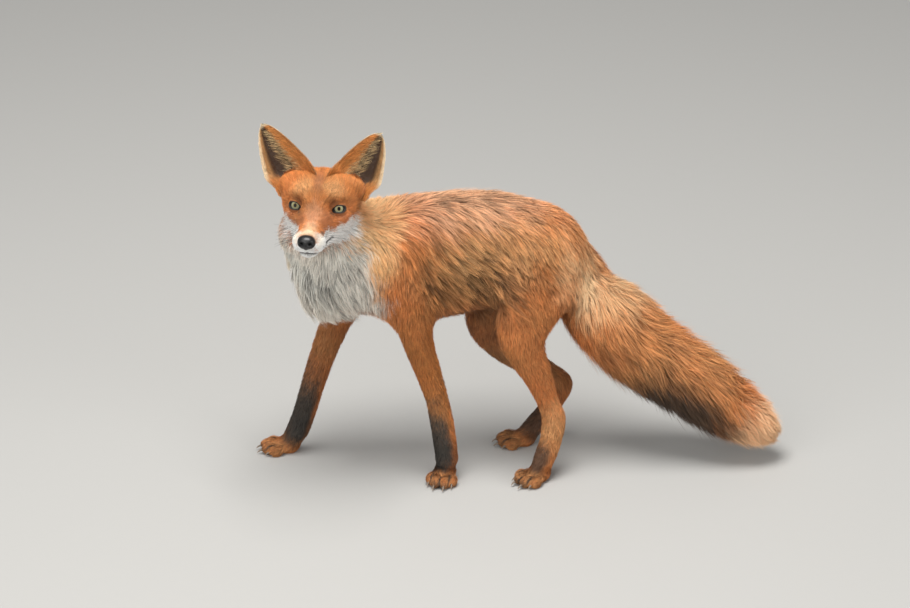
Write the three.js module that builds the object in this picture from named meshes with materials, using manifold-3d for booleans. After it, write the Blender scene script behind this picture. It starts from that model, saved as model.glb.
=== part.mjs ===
// A red fox (Vulpes vulpes) in its summer coat, life size, standing with its head turned to its left.
// Millimetres, +Z up, the trunk along X with the breast towards -X, so the fox's left side faces -Y.
// The solids reach to the tips of the coat. The body is one smooth field of distances, which is turned
// into a surface, parted into its members with thin cuts, and thinned to a modest number of triangles.
import * as THREE from "three";
import { mergeVertices } from "three/addons/utils/BufferGeometryUtils.js";
import Module from "manifold-3d";

const wasm = await Module();
wasm.setup();

// ---------------------------------------------------------------------------------------------------
// Driving dimensions

const GAP = 0.8; // clear space left by each cut between two members
const SOLE_CUT = 1.5; // how far the paws are pressed flat
const STEP = 3; // grid step of the surface before it is thinned
const BODY_FACES = 12000; // triangles of the body's surface before it is parted
const TINY = 1e-6;
const MEMBER_FACES = {
  // triangles of each member once parted
  head: 1700,
  neck: 560,
  trunk: 820,
  tail_base: 330,
  tail_brush: 360,
  tail_tip: 250,
  upper: 230,
  thigh: 260,
  lower: 250,
  shank: 190,
  foot: 160,
  paw: 260,
};

// ---------------------------------------------------------------------------------------------------
// Distance fields. A field is a function of x, y, z with a `box` that bounds its surface.

const mix = (a, b, t) => a + (b - a) * t;

// The smooth union of two distances, rounded over about `r`.
function blend(a, b, r) {
  const h = Math.max(r - Math.abs(a - b), 0) / r;
  return Math.min(a, b) - (h * h * r) / 4;
}

function boxOf(points, margin) {
  const box = new THREE.Box3().setFromPoints(points);
  return box.expandByScalar(margin);
}

// Distance from a point to a box, 0 inside, used to skip what is far away.
function outside(box, x, y, z) {
  const dx = Math.max(box.min.x - x, 0, x - box.max.x);
  const dy = Math.max(box.min.y - y, 0, y - box.max.y);
  const dz = Math.max(box.min.z - z, 0, z - box.max.z);
  return Math.sqrt(dx * dx + dy * dy + dz * dz);
}

// An ellipsoid with half axes [a, b, c], turned by Euler angles in degrees.
function lump(at, half, turn = [0, 0, 0]) {
  const centre = new THREE.Vector3(...at);
  const euler = new THREE.Euler(...turn.map(THREE.MathUtils.degToRad));
  const m = new THREE.Matrix4().makeRotationFromEuler(euler).transpose().elements;
  const field = (x, y, z) => {
    const px = x - centre.x;
    const py = y - centre.y;
    const pz = z - centre.z;
    const u = (m[0] * px + m[4] * py + m[8] * pz) / half[0];
    const v = (m[1] * px + m[5] * py + m[9] * pz) / half[1];
    const w = (m[2] * px + m[6] * py + m[10] * pz) / half[2];
    const k = Math.sqrt(u * u + v * v + w * w);
    const r = Math.sqrt(px * px + py * py + pz * pz);
    return k < TINY ? -Math.min(...half) : r * (1 - 1 / k);
  };
  field.box = boxOf([centre], Math.max(...half));
  return field;
}

// The value at `t`, from 0 to 1, of a smooth curve through evenly spaced values.
function through(values, t) {
  const last = values.length - 1;
  const i = Math.min(Math.floor(t * last), last - 1);
  const f = t * last - i;
  const [b, c] = [values[i], values[i + 1]];
  const a = values[i - 1] ?? 2 * b - c;
  const d = values[i + 2] ?? 2 * c - b;
  return b + (f * (c - a + f * (2 * a - 5 * b + 4 * c - d + f * (3 * (b - c) + d - a)))) / 2;
}

// A limb: an oval section swept along a smooth line through its stations. Each station is
// [x, y, z, wide, deep], where wide is the half width along `side` and deep is the other half width.
function limb(side, stations) {
  const curve = new THREE.CatmullRomCurve3(
    stations.map((s) => new THREE.Vector3(s[0], s[1], s[2])),
    false,
    "centripetal",
  );
  const steps = 6 * (stations.length - 1);
  const hint = new THREE.Vector3(...side).normalize();
  const rings = [];
  for (let i = 0; i <= steps; i++) {
    const t = i / steps;
    const at = curve.getPoint(t);
    const along = curve.getTangent(t);
    const across = hint.clone().addScaledVector(along, -hint.dot(along)).normalize();
    const wide = through(stations.map((s) => s[3]), t);
    const deep = through(stations.map((s) => s[4]), t);
    rings.push({ at, along, across, wide, deep });
  }
  const field = (x, y, z) => {
    let best = Infinity;
    let ring = rings[0];
    let next = rings[1];
    let share = 0;
    for (let i = 0; i < steps; i++) {
      const a = rings[i].at;
      const b = rings[i + 1].at;
      const ex = b.x - a.x;
      const ey = b.y - a.y;
      const ez = b.z - a.z;
      let t = ((x - a.x) * ex + (y - a.y) * ey + (z - a.z) * ez) / (ex * ex + ey * ey + ez * ez);
      t = Math.min(Math.max(t, 0), 1);
      const qx = x - a.x - t * ex;
      const qy = y - a.y - t * ey;
      const qz = z - a.z - t * ez;
      const d = qx * qx + qy * qy + qz * qz;
      if (d < best) {
        best = d;
        ring = rings[i];
        next = rings[i + 1];
        share = t;
      }
    }
    const qx = x - mix(ring.at.x, next.at.x, share);
    const qy = y - mix(ring.at.y, next.at.y, share);
    const qz = z - mix(ring.at.z, next.at.z, share);
    const sx = mix(ring.across.x, next.across.x, share);
    const sy = mix(ring.across.y, next.across.y, share);
    const sz = mix(ring.across.z, next.across.z, share);
    const wide = mix(ring.wide, next.wide, share);
    const deep = mix(ring.deep, next.deep, share);
    const r = Math.sqrt(best);
    const s = qx * sx + qy * sy + qz * sz;
    const rest = Math.max(best - s * s, 0);
    const k = Math.sqrt((s * s) / (wide * wide) + rest / (deep * deep));
    return k < TINY ? -Math.min(wide, deep) : r * (1 - 1 / k);
  };
  field.box = boxOf(
    rings.map((ring) => ring.at),
    Math.max(...stations.map((s) => Math.max(s[3], s[4]))),
  );
  return field;
}

// The smooth union of several fields.
function join(round, ...fields) {
  const field = (x, y, z) => {
    let d = Infinity;
    for (const f of fields) {
      if (outside(f.box, x, y, z) < d + round) d = blend(d, f(x, y, z), f.round ?? round);
    }
    return d === Infinity ? outside(field.box, x, y, z) + 1 : d;
  };
  field.box = new THREE.Box3();
  for (const f of fields) field.box.union(f.box);
  return field;
}

// A field with others hollowed out of it.
function carve(round, field, ...tools) {
  const carved = (x, y, z) => {
    let d = field(x, y, z);
    for (const tool of tools) d = -blend(-d, tool(x, y, z), round);
    return d;
  };
  carved.box = field.box;
  carved.round = field.round;
  return carved;
}

// The same field, placed by a matrix.
function placed(field, matrix) {
  const m = matrix.clone().invert().elements;
  const moved = (x, y, z) =>
    field(
      m[0] * x + m[4] * y + m[8] * z + m[12],
      m[1] * x + m[5] * y + m[9] * z + m[13],
      m[2] * x + m[6] * y + m[10] * z + m[14],
    );
  moved.box = field.box.clone().applyMatrix4(matrix);
  moved.round = field.round;
  return moved;
}

// ---------------------------------------------------------------------------------------------------
// The head, in its own frame: the origin midway between the eyes, the nose towards -Y, left at +X.

const NOSE = { at: [0, -79, -20.5], half: [11.4, 9, 9] };
const NOSTRIL = { x: 4.8, y: -86.5, z: -21, half: [2.2, 3.2, 1.9] };
const EYE = { x: 25.5, y: 3.5, z: 0, radius: 9 };
const HEAD = { at: [-197, -120, 403], yaw: -19, pitch: 7.5, roll: 1.8 };

const headMatrix = new THREE.Matrix4()
  .makeTranslation(...HEAD.at)
  .multiply(
    new THREE.Matrix4().makeRotationFromEuler(
      new THREE.Euler(
        -THREE.MathUtils.degToRad(HEAD.pitch),
        THREE.MathUtils.degToRad(HEAD.roll),
        THREE.MathUtils.degToRad(HEAD.yaw),
        "ZXY",
      ),
    ),
  );

function headField() {
  const both = (make) => [1, -1].map(make);
  const skull = join(
    18,
    lump([0, 37, 7], [43, 44, 34]), // braincase
    lump([0, 10, 9], [31, 28, 21]), // forehead
    ...both((s) => lump([s * 26, 24, -7], [22, 31, 27], [0, 0, s * -16])), // cheeks
    lump([0, 36, -32], [31, 36, 24]), // throat
    limb([1, 0, 0], [
      [0, 8, -13, 27, 23],
      [0, -22, -17, 19.5, 18],
      [0, -48, -20.5, 15.5, 13.5],
      [0, -69, -22, 13.5, 11.5],
    ]), // muzzle
  );
  const jaw = limb([1, 0, 0], [
    [0, 32, -36, 33, 18],
    [0, 2, -34, 29, 15],
    [0, -24, -35, 21, 12],
    [0, -46, -38, 12, 8.5],
    [0, -61, -38.5, 9, 7],
  ]);
  const lips = both((s) => lump([s * 9, -60, -26.5], [10.5, 16, 10], [0, 0, s * -12]));
  const ears = both((s) => lump([s * 38, 33, 19], [17, 15, 13], [0, s * 30, 0]));
  const whole = join(8, skull, jaw, ...lips, join(14, ...ears));
  const sockets = both((s) => lump([s * 27, -9, 0.5], [11, 9.5, 7], [0, 0, s * 24]));
  return carve(6, whole, ...sockets);
}

// An ear: a cupped leaf from its root to its tip, open forwards and outwards, thick along its middle
// and thin along its rim.
const EAR = {
  half: 34.5, // half width at its widest
  waist: [0.7, 1.12], // width of the root, as a share of that: the outer side, then the crown's side
  swells: 0.3, // where the leaf's own width is reached, as a share of the length
  swell: 1.25, // how long the width holds before it narrows
  taper: 0.56, // how sharply it then comes to the tip
  cups: [[78, 32], [46, 26]], // how far each side curls forward at the root and at the tip, degrees
  thick: 3.2, // along the middle of the root
  rim: 0.25, // thickness of the rim, as a share of the middle's
  tip: 0.5, // thickness at the tip, as a share of the root's
  end: 0.985, // where the tip is rounded off, as a share of the length
  open: [0.36, -1, 0.1], // the way the cup faces, for the left ear
};
const EARS = {
  ear_left: { side: 1, root: [41, 20, 24], tip: [67, 52, 86] },
  ear_right: { side: -1, root: [-38, 20, 25], tip: [-80, 52, 86] },
};

function earSurface(ear, across = 8, along = 8) {
  const side = ear.side;
  const root = new THREE.Vector3(...ear.root);
  const axis = new THREE.Vector3(...ear.tip).sub(root);
  const length = axis.length();
  axis.normalize();
  const open = new THREE.Vector3(side * EAR.open[0], EAR.open[1], EAR.open[2]);
  open.addScaledVector(axis, -open.dot(axis)).normalize();
  const wide = new THREE.Vector3().crossVectors(open, axis);
  const at = (u, v, lift) => {
    const leaf = EAR.half * Math.pow(1 - Math.pow(v, EAR.swell), EAR.taper);
    const swells = THREE.MathUtils.smoothstep(v, 0, EAR.swells);
    const cups = EAR.cups.map((ends) => THREE.MathUtils.degToRad(mix(...ends, v)));
    const radii = cups.map((cup, i) => (leaf * mix(EAR.waist[i], 1, swells)) / Math.sin(cup));
    const i = u * side > 0 ? 1 : 0;
    const [cup, radius] = [cups[i], radii[i]];
    const depth = radii[0] * (1 - Math.cos(cups[0])); // of the cup's floor behind its outer edge
    return root
      .clone()
      .addScaledVector(axis, v * length)
      .addScaledVector(wide, (radius + lift) * Math.sin(u * cup))
      .addScaledVector(open, radius - depth - (radius + lift) * Math.cos(u * cup));
  };
  const points = [];
  const faces = [];
  const put = (p) => points.push(p.x, p.y, p.z) / 3 - 1;
  const rows = [];
  for (let j = 0; j <= along; j++) {
    const v = EAR.end * (1 - Math.pow(1 - j / along, EAR.swell));
    const front = [];
    const back = [];
    for (let i = 0; i <= across; i++) {
      const u = (2 * i) / across - 1;
      const t = EAR.thick * mix(1, EAR.rim, u * u) * mix(1, EAR.tip, v);
      front.push(put(at(u, v, -t / 2)));
      back.push(put(at(u, v, t / 2)));
    }
    rows.push([...front, ...back.reverse()]);
  }
  const n = rows[0].length;
  const quad = (a, b, c, d) => faces.push(a, c, b, a, d, c);
  for (let j = 0; j < along; j++)
    for (let i = 0; i < n; i++) {
      const k = (i + 1) % n;
      quad(rows[j][i], rows[j][k], rows[j + 1][k], rows[j + 1][i]);
    }
  for (let i = 0; i < n / 2 - 1; i++) {
    quad(rows[0][i], rows[0][n - 1 - i], rows[0][n - 2 - i], rows[0][i + 1]);
    quad(rows[along][i], rows[along][i + 1], rows[along][n - 2 - i], rows[along][n - 1 - i]);
  }
  return { points, faces };
}

// ---------------------------------------------------------------------------------------------------
// The trunk, neck and tail

const trunk = limb([0, 1, 0], [
  [138, -61, 262, 32, 43],
  [106, -61, 283, 47, 61],
  [75, -60, 294, 52, 68],
  [35, -56, 300, 53, 78],
  [-22, -52, 296, 55, 86],
  [-80, -47, 290, 57, 81],
  [-125, -45, 288, 48, 68],
]);

const neck = limb([0, 1, 0], [
  [-85, -46, 308, 50, 56],
  [-130, -50, 324, 48, 47],
  [-165, -66, 356, 46, 44],
]);

const ruff = lump([-194, -74, 343], [46, 52, 42]);
const bib = lump([-180, -66, 292], [42, 44, 70]);

const tail = limb([0, 1, 0], [
  [132, -60, 254, 35, 36],
  [160, -66, 221, 46, 47],
  [197, -74, 187, 54, 57],
  [233, -84, 151, 53, 56],
  [281, -95, 116, 53, 55],
  [314, -106, 89, 49, 53],
  [344, -116, 67, 42, 44],
  [364, -123, 54, 34, 36],
  [376, -127, 47, 28, 29],
]);

// ---------------------------------------------------------------------------------------------------
// The legs. Every station is on the middle line of the leg.

const foreLeft = limb([0, 1, 0], [
  [-92, -74, 306, 30, 44],
  [-83, -84, 256, 26, 35],
  [-72, -88, 220, 20, 24.5],
  [-64, -89, 186, 16.5, 19.5],
  [-53, -90, 150, 14.5, 17],
  [-43, -91, 115, 13, 15],
  [-35, -92, 70, 13, 15.5],
  [-30, -94, 26, 14, 14.5],
]);

const foreRight = limb([0, 1, 0], [
  [-112, -16, 308, 28, 42],
  [-130, -2, 246, 24, 32],
  [-152, 5, 192, 17, 21],
  [-166, 9, 154, 15, 18],
  [-181, 13, 106, 13, 16],
  [-194, 17, 58, 13, 15],
  [-204, 20, 28, 14, 15],
]);

const hindLeft = limb([0, 1, 0], [
  [96, -84, 296, 30, 52],
  [78, -98, 244, 27, 46],
  [64, -106, 200, 23, 34],
  [70, -108, 172, 18, 25],
  [82, -109, 146, 15, 20],
  [97, -110, 104, 12.5, 14],
  [104, -112, 82, 12.5, 16],
  [101, -115, 56, 12, 14.5],
  [91, -119, 28, 13.5, 14],
]);

const hindRight = limb([0, 1, 0], [
  [90, -40, 296, 30, 52],
  [60, -26, 232, 27, 46],
  [42, -14, 180, 22, 32],
  [58, -10, 148, 19, 25],
  [86, -7, 120, 15, 20],
  [118, -6, 96, 13, 15],
  [140, -7, 76, 12.5, 14.5],
  [128, -9, 52, 12, 13],
  [106, -14, 26, 13, 13.5],
]);

// A paw in its own frame: the sole's middle at the origin on the floor, the toes towards +X.
const TOES = [
  { at: [17.5, 6.4, 8.2], half: [12, 6.6, 9], turn: 0 },
  { at: [17.5, -6.4, 8.2], half: [12, 6.6, 9], turn: 0 },
  { at: [9, 14.6, 7.8], half: [11.5, 6.4, 8.6], turn: 10 },
  { at: [9, -14.6, 7.8], half: [11.5, 6.4, 8.6], turn: -10 },
];
const CLAW = {
  length: 9, // in front of the toe
  root: 5.4, // hidden in the toe
  radius: 1.9,
  point: 0.22, // radius of the point, as a share of the root's
  flat: 0.8, // width, as a share of depth
  height: 6.2, // of the root above the floor
  arch: 1.6, // how far it rises before it bends down
  drop: 3.2, // of the point below the root
};

function pawField() {
  const pad = lump([-8, 0, 10], [17, 15.5, 12.5]);
  return join(6, pad, ...TOES.map((toe) => lump(toe.at, toe.half, [0, 14, toe.turn])));
}

const PAWS = {
  forepaw_left: { at: [-36, -99], heading: 245 },
  forepaw_right: { at: [-222, 27], heading: 176 },
  hindpaw_left: { at: [77, -124], heading: 208 },
  hindpaw_right: { at: [80, -18], heading: 176 },
};

const pawMatrix = (paw) =>
  new THREE.Matrix4()
    .makeTranslation(paw.at[0], paw.at[1], -SOLE_CUT)
    .multiply(new THREE.Matrix4().makeRotationZ(THREE.MathUtils.degToRad(paw.heading)));

const head = placed(headField(), headMatrix);
const paws = Object.values(PAWS).map((paw) => placed(pawField(), pawMatrix(paw)));
const torso = join(34, trunk, neck, ruff, bib);
const body = join(
  16,
  join(24, torso, tail, foreLeft, foreRight, hindLeft, hindRight),
  head,
  ...paws,
);

// ---------------------------------------------------------------------------------------------------
// From a field to a surface

// A cell's corners are numbered by their bits, x = 1, y = 2, z = 4. Six tetrahedra fill it.
const TETRAHEDRA = [
  [0, 1, 3, 7],
  [0, 3, 2, 7],
  [0, 2, 6, 7],
  [0, 6, 4, 7],
  [0, 4, 5, 7],
  [0, 5, 1, 7],
];
const BLOCK = 6; // cells in a block that is skipped when it is far from the surface
const FAR = 2; // how many times its half diagonal a block's centre has to be from the surface
const CLEAR = 0.02; // how near a vertex may come to a grid node, as a share of the edge

// The field's values on a grid with `step` between its nodes, above 0 all over the grid's own faces.
function sample(field, box, step) {
  const size = box.getSize(new THREE.Vector3()).toArray();
  const n = size.map((s) => Math.ceil(s / step) + 1);
  const values = new Float32Array(n[0] * n[1] * n[2]);
  const at = (i, axis) => box.min.getComponent(axis) + i * step;
  const half = (BLOCK * step * Math.sqrt(3)) / 2;
  for (let k0 = 0; k0 < n[2]; k0 += BLOCK)
    for (let j0 = 0; j0 < n[1]; j0 += BLOCK)
      for (let i0 = 0; i0 < n[0]; i0 += BLOCK) {
        const centre = [i0, j0, k0].map((first, axis) => at(first + BLOCK / 2, axis));
        const d = field(...centre);
        const skip = Math.abs(d) > FAR * half;
        for (let k = k0; k < Math.min(k0 + BLOCK, n[2]); k++)
          for (let j = j0; j < Math.min(j0 + BLOCK, n[1]); j++)
            for (let i = i0; i < Math.min(i0 + BLOCK, n[0]); i++) {
              const edge = !i || !j || !k || i === n[0] - 1 || j === n[1] - 1 || k === n[2] - 1;
              const value = skip ? d : field(at(i, 0), at(j, 1), at(k, 2));
              values[(k * n[1] + j) * n[0] + i] = edge ? Math.max(value, step / 2) : value;
            }
      }
  return { values, n };
}

// The closed surface where the field is zero, by marching tetrahedra: { points, faces } as flat lists.
function march(field, box, step) {
  const { values, n } = sample(field, box, step);
  const points = [];
  const faces = [];
  const made = new Map();
  const offset = (bits) => ((bits >> 2) * n[1] + ((bits >> 1) & 1)) * n[0] + (bits & 1);
  const coordinate = (node, axis) => {
    const i = node % n[0];
    const j = Math.floor(node / n[0]) % n[1];
    const k = Math.floor(node / (n[0] * n[1]));
    return box.min.getComponent(axis) + [i, j, k][axis] * step;
  };
  // The vertex on the grid edge between two corners of the cell at `cell`.
  const vertex = (cell, p, q) => {
    const [low, high] = p < q ? [p, q] : [q, p];
    const a = cell + offset(low);
    const b = cell + offset(high);
    const key = a * 8 + (high - low);
    if (!made.has(key)) {
      const t = THREE.MathUtils.clamp(values[a] / (values[a] - values[b]), CLEAR, 1 - CLEAR);
      made.set(key, points.length / 3);
      for (let axis = 0; axis < 3; axis++)
        points.push(mix(coordinate(a, axis), coordinate(b, axis), t));
    }
    return made.get(key);
  };
  // Adds a triangle turned so that it faces from the corner `inner` to the corner `outer`.
  const face = (a, b, c, inner, outer, cell) => {
    const ux = points[3 * b] - points[3 * a];
    const uy = points[3 * b + 1] - points[3 * a + 1];
    const uz = points[3 * b + 2] - points[3 * a + 2];
    const vx = points[3 * c] - points[3 * a];
    const vy = points[3 * c + 1] - points[3 * a + 1];
    const vz = points[3 * c + 2] - points[3 * a + 2];
    const from = cell + offset(inner);
    const to = cell + offset(outer);
    const out =
      (uy * vz - uz * vy) * (coordinate(to, 0) - coordinate(from, 0)) +
      (uz * vx - ux * vz) * (coordinate(to, 1) - coordinate(from, 1)) +
      (ux * vy - uy * vx) * (coordinate(to, 2) - coordinate(from, 2));
    faces.push(a, out > 0 ? b : c, out > 0 ? c : b);
  };
  for (let k = 0; k < n[2] - 1; k++)
    for (let j = 0; j < n[1] - 1; j++)
      for (let i = 0; i < n[0] - 1; i++) {
        const cell = (k * n[1] + j) * n[0] + i;
        let inside = 0;
        for (let c = 0; c < 8; c++) inside += values[cell + offset(c)] < 0 ? 1 : 0;
        if (inside === 0 || inside === 8) continue;
        for (const tet of TETRAHEDRA) {
          const inn = tet.filter((c) => values[cell + offset(c)] < 0);
          const out = tet.filter((c) => values[cell + offset(c)] >= 0);
          if (!inn.length || !out.length) continue;
          if (inn.length === 2) {
            const [a, b] = inn;
            const [c, d] = out;
            const ac = vertex(cell, a, c);
            const ad = vertex(cell, a, d);
            const bc = vertex(cell, b, c);
            const bd = vertex(cell, b, d);
            face(ac, ad, bd, a, c, cell);
            face(ac, bd, bc, a, c, cell);
          } else {
            const [one] = inn.length === 1 ? inn : out;
            const others = tet.filter((c) => c !== one);
            const [p, q, r] = others.map((c) => vertex(cell, one, c));
            const [from, to] = inn.length === 1 ? [one, others[0]] : [others[0], one];
            face(p, q, r, from, to, cell);
          }
        }
      }
  return { points, faces };
}

// ---------------------------------------------------------------------------------------------------
// Thinning a surface by collapsing its cheapest edges (quadric error), without opening or folding it

class Heap {
  constructor() {
    this.items = [];
  }
  push(item) {
    const a = this.items;
    let i = a.push(item) - 1;
    while (i > 0) {
      const up = (i - 1) >> 1;
      if (a[up].cost <= item.cost) break;
      a[i] = a[up];
      i = up;
    }
    a[i] = item;
  }
  pop() {
    const a = this.items;
    const top = a[0];
    const last = a.pop();
    if (a.length) {
      let i = 0;
      for (;;) {
        let down = 2 * i + 1;
        if (down >= a.length) break;
        if (down + 1 < a.length && a[down + 1].cost < a[down].cost) down++;
        if (a[down].cost >= last.cost) break;
        a[i] = a[down];
        i = down;
      }
      a[i] = last;
    }
    return top;
  }
}

const LEAST_TURN = 0.25; // the least cosine between a face's directions before and after a collapse
const SHORT_FIRST = 2e-3; // how much an edge's length counts beside the error of collapsing it
const FLAT = 1e-5; // below this share, the planes round an edge fix no single best point
const REACH = 1.5; // how many lengths of the edge its best point may lie away

function thin({ points, faces }, target) {
  const P = Float64Array.from(points);
  const F = Int32Array.from(faces);
  const vertices = P.length / 3;
  const Q = new Float64Array(10 * vertices);
  const around = Array.from({ length: vertices }, () => new Set());
  const stamp = new Int32Array(vertices);
  let left = F.length / 3;

  const normal = (a, b, c) => {
    const ux = b[0] - a[0];
    const uy = b[1] - a[1];
    const uz = b[2] - a[2];
    const vx = c[0] - a[0];
    const vy = c[1] - a[1];
    const vz = c[2] - a[2];
    return [uy * vz - uz * vy, uz * vx - ux * vz, ux * vy - uy * vx];
  };
  const point = (v) => [P[3 * v], P[3 * v + 1], P[3 * v + 2]];
  const error = (q, [x, y, z]) =>
    q[0] * x * x + 2 * q[1] * x * y + 2 * q[2] * x * z + 2 * q[3] * x + q[4] * y * y +
    2 * q[5] * y * z + 2 * q[6] * y + q[7] * z * z + 2 * q[8] * z + q[9];

  for (let f = 0; f < left; f++) {
    const [a, b, c] = [F[3 * f], F[3 * f + 1], F[3 * f + 2]];
    const m = normal(point(a), point(b), point(c));
    const area = Math.max(Math.hypot(...m), TINY);
    const [x, y, z] = m.map((value) => value / area);
    const d = -(x * P[3 * a] + y * P[3 * a + 1] + z * P[3 * a + 2]);
    const plane = [x * x, x * y, x * z, x * d, y * y, y * z, y * d, z * z, z * d, d * d];
    for (const v of [a, b, c]) {
      around[v].add(f);
      for (let i = 0; i < 10; i++) Q[10 * v + i] += (plane[i] * area) / 2;
    }
  }

  const neighbours = (v) => {
    const found = new Set();
    for (const f of around[v]) {
      for (let i = 0; i < 3; i++) found.add(F[3 * f + i]);
    }
    found.delete(v);
    return found;
  };

  // The best place for a merged edge: where its error is least, or the best of its ends and middle.
  const plan = (a, b) => {
    const q = new Array(10);
    for (let i = 0; i < 10; i++) q[i] = Q[10 * a + i] + Q[10 * b + i];
    const pa = point(a);
    const pb = point(b);
    const middle = pa.map((value, i) => (value + pb[i]) / 2);
    const length = Math.hypot(pa[0] - pb[0], pa[1] - pb[1], pa[2] - pb[2]);
    let tries = [pa, pb, middle];
    const det =
      q[0] * (q[4] * q[7] - q[5] * q[5]) - q[1] * (q[1] * q[7] - q[5] * q[2]) +
      q[2] * (q[1] * q[5] - q[4] * q[2]);
    const scale = (q[0] + q[4] + q[7]) ** 3;
    if (det > FLAT * scale) {
      const [r, s, t] = [-q[3], -q[6], -q[8]];
      const x = r * (q[4] * q[7] - q[5] * q[5]) - q[1] * (s * q[7] - q[5] * t) +
        q[2] * (s * q[5] - q[4] * t);
      const y = q[0] * (s * q[7] - t * q[5]) - r * (q[1] * q[7] - q[5] * q[2]) +
        q[2] * (q[1] * t - s * q[2]);
      const z = q[0] * (q[4] * t - q[5] * s) - q[1] * (q[1] * t - s * q[2]) +
        r * (q[1] * q[5] - q[4] * q[2]);
      const best = [x / det, y / det, z / det];
      const far = Math.hypot(...best.map((value, i) => value - middle[i]));
      if (far < REACH * length) tries = [best];
    }
    let chosen = null;
    for (const p of tries) {
      const cost = Math.max(error(q, p), 0) + SHORT_FIRST * length ** 4;
      if (!chosen || cost < chosen.cost) chosen = { cost, p };
    }
    return { ...chosen, a, b, stampA: stamp[a], stampB: stamp[b] };
  };

  const folds = (v, other, p) => {
    for (const f of around[v]) {
      const corners = [F[3 * f], F[3 * f + 1], F[3 * f + 2]];
      if (corners.includes(other)) continue;
      const before = normal(...corners.map(point));
      const after = normal(...corners.map((c) => (c === v ? p : point(c))));
      const dot = before[0] * after[0] + before[1] * after[1] + before[2] * after[2];
      if (dot <= LEAST_TURN * Math.hypot(...before) * Math.hypot(...after)) return true;
    }
    return false;
  };

  const heap = new Heap();
  for (let v = 0; v < vertices; v++) {
    for (const w of neighbours(v)) {
      if (v < w) heap.push(plan(v, w));
    }
  }

  while (left > target && heap.items.length) {
    const { a, b, p, stampA, stampB } = heap.pop();
    if (stamp[a] !== stampA || stamp[b] !== stampB) continue;
    const near = neighbours(a);
    const shared = [...neighbours(b)].filter((v) => near.has(v));
    if (shared.length !== 2 || folds(a, b, p) || folds(b, a, p)) continue;
    for (const f of [...around[b]]) {
      const corners = [F[3 * f], F[3 * f + 1], F[3 * f + 2]];
      if (corners.includes(a)) {
        for (const c of corners) around[c].delete(f);
        left--;
      } else {
        for (let i = 0; i < 3; i++) {
          if (F[3 * f + i] === b) F[3 * f + i] = a;
        }
        around[a].add(f);
      }
    }
    around[b].clear();
    stamp[b] = -1;
    stamp[a]++;
    P.set(p, 3 * a);
    for (let i = 0; i < 10; i++) Q[10 * a + i] += Q[10 * b + i];
    for (const v of neighbours(a)) heap.push(plan(a, v));
  }

  const number = new Map();
  const out = { points: [], faces: [] };
  const used = new Set();
  for (let v = 0; v < vertices; v++) {
    for (const f of around[v]) {
      if (used.has(f)) continue;
      used.add(f);
      for (let i = 0; i < 3; i++) {
        const w = F[3 * f + i];
        if (!number.has(w)) {
          number.set(w, out.points.length / 3);
          out.points.push(...point(w));
        }
        out.faces.push(number.get(w));
      }
    }
  }
  return out;
}

// ---------------------------------------------------------------------------------------------------
// Solids that can be joined and cut

const HUGE = 3000; // side of the block that stands for a half space
const WELD = 1e-4; // vertices this close are one

function solid({ points, faces }) {
  return new wasm.Manifold(
    new wasm.Mesh({
      numProp: 3,
      vertProperties: Float32Array.from(points),
      triVerts: Uint32Array.from(faces),
    }),
  );
}

// The points and faces of a three.js geometry, its double vertices and empty triangles left out.
function meshOf(geometry) {
  const bare = new THREE.BufferGeometry();
  bare.setAttribute("position", geometry.getAttribute("position"));
  bare.setIndex(geometry.getIndex());
  const merged = mergeVertices(bare, WELD);
  const index = merged.getIndex().array;
  const faces = [];
  for (let f = 0; f < index.length; f += 3) {
    const [a, b, c] = [index[f], index[f + 1], index[f + 2]];
    if (a !== b && b !== c && a !== c) faces.push(a, b, c);
  }
  return { points: Array.from(merged.getAttribute("position").array), faces };
}

function moved(mesh, matrix) {
  const points = [];
  const p = new THREE.Vector3();
  for (let i = 0; i < mesh.points.length; i += 3) {
    p.fromArray(mesh.points, i).applyMatrix4(matrix);
    points.push(p.x, p.y, p.z);
  }
  return { points, faces: mesh.faces };
}

// The points and faces of a solid.
function meshFrom(piece) {
  const { vertProperties, triVerts, numProp } = piece.getMesh();
  const points = [];
  for (let i = 0; i < vertProperties.length; i += numProp)
    points.push(vertProperties[i], vertProperties[i + 1], vertProperties[i + 2]);
  return { points, faces: Array.from(triVerts) };
}

// All space behind the plane through `at` that faces `out`, taken `margin` further out.
function behind([at, out], margin = 0) {
  const up = new THREE.Vector3(0, 0, 1);
  const normal = new THREE.Vector3(...out).normalize();
  const matrix = new THREE.Matrix4().makeRotationFromQuaternion(
    new THREE.Quaternion().setFromUnitVectors(up, normal),
  );
  matrix.setPosition(new THREE.Vector3(...at).addScaledVector(normal, margin - HUGE / 2));
  return solid(moved(meshOf(new THREE.BoxGeometry(HUGE, HUGE, HUGE)), matrix));
}

// Parts a solid in two, GAP apart: what is behind all of the planes, and what is left.
function part(whole, ...planes) {
  const region = (margin) =>
    planes.map((plane) => behind(plane, margin)).reduce((a, b) => a.intersect(b));
  return [whole.intersect(region(-GAP / 2)), whole.subtract(region(GAP / 2))];
}

// ---------------------------------------------------------------------------------------------------
// The body, parted into its members. Each plane is [a point on it, the way it faces].

const pieces = {};
let rest = solid(thin(march(body, body.box.clone().expandByScalar(3 * STEP), STEP), BODY_FACES));

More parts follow.
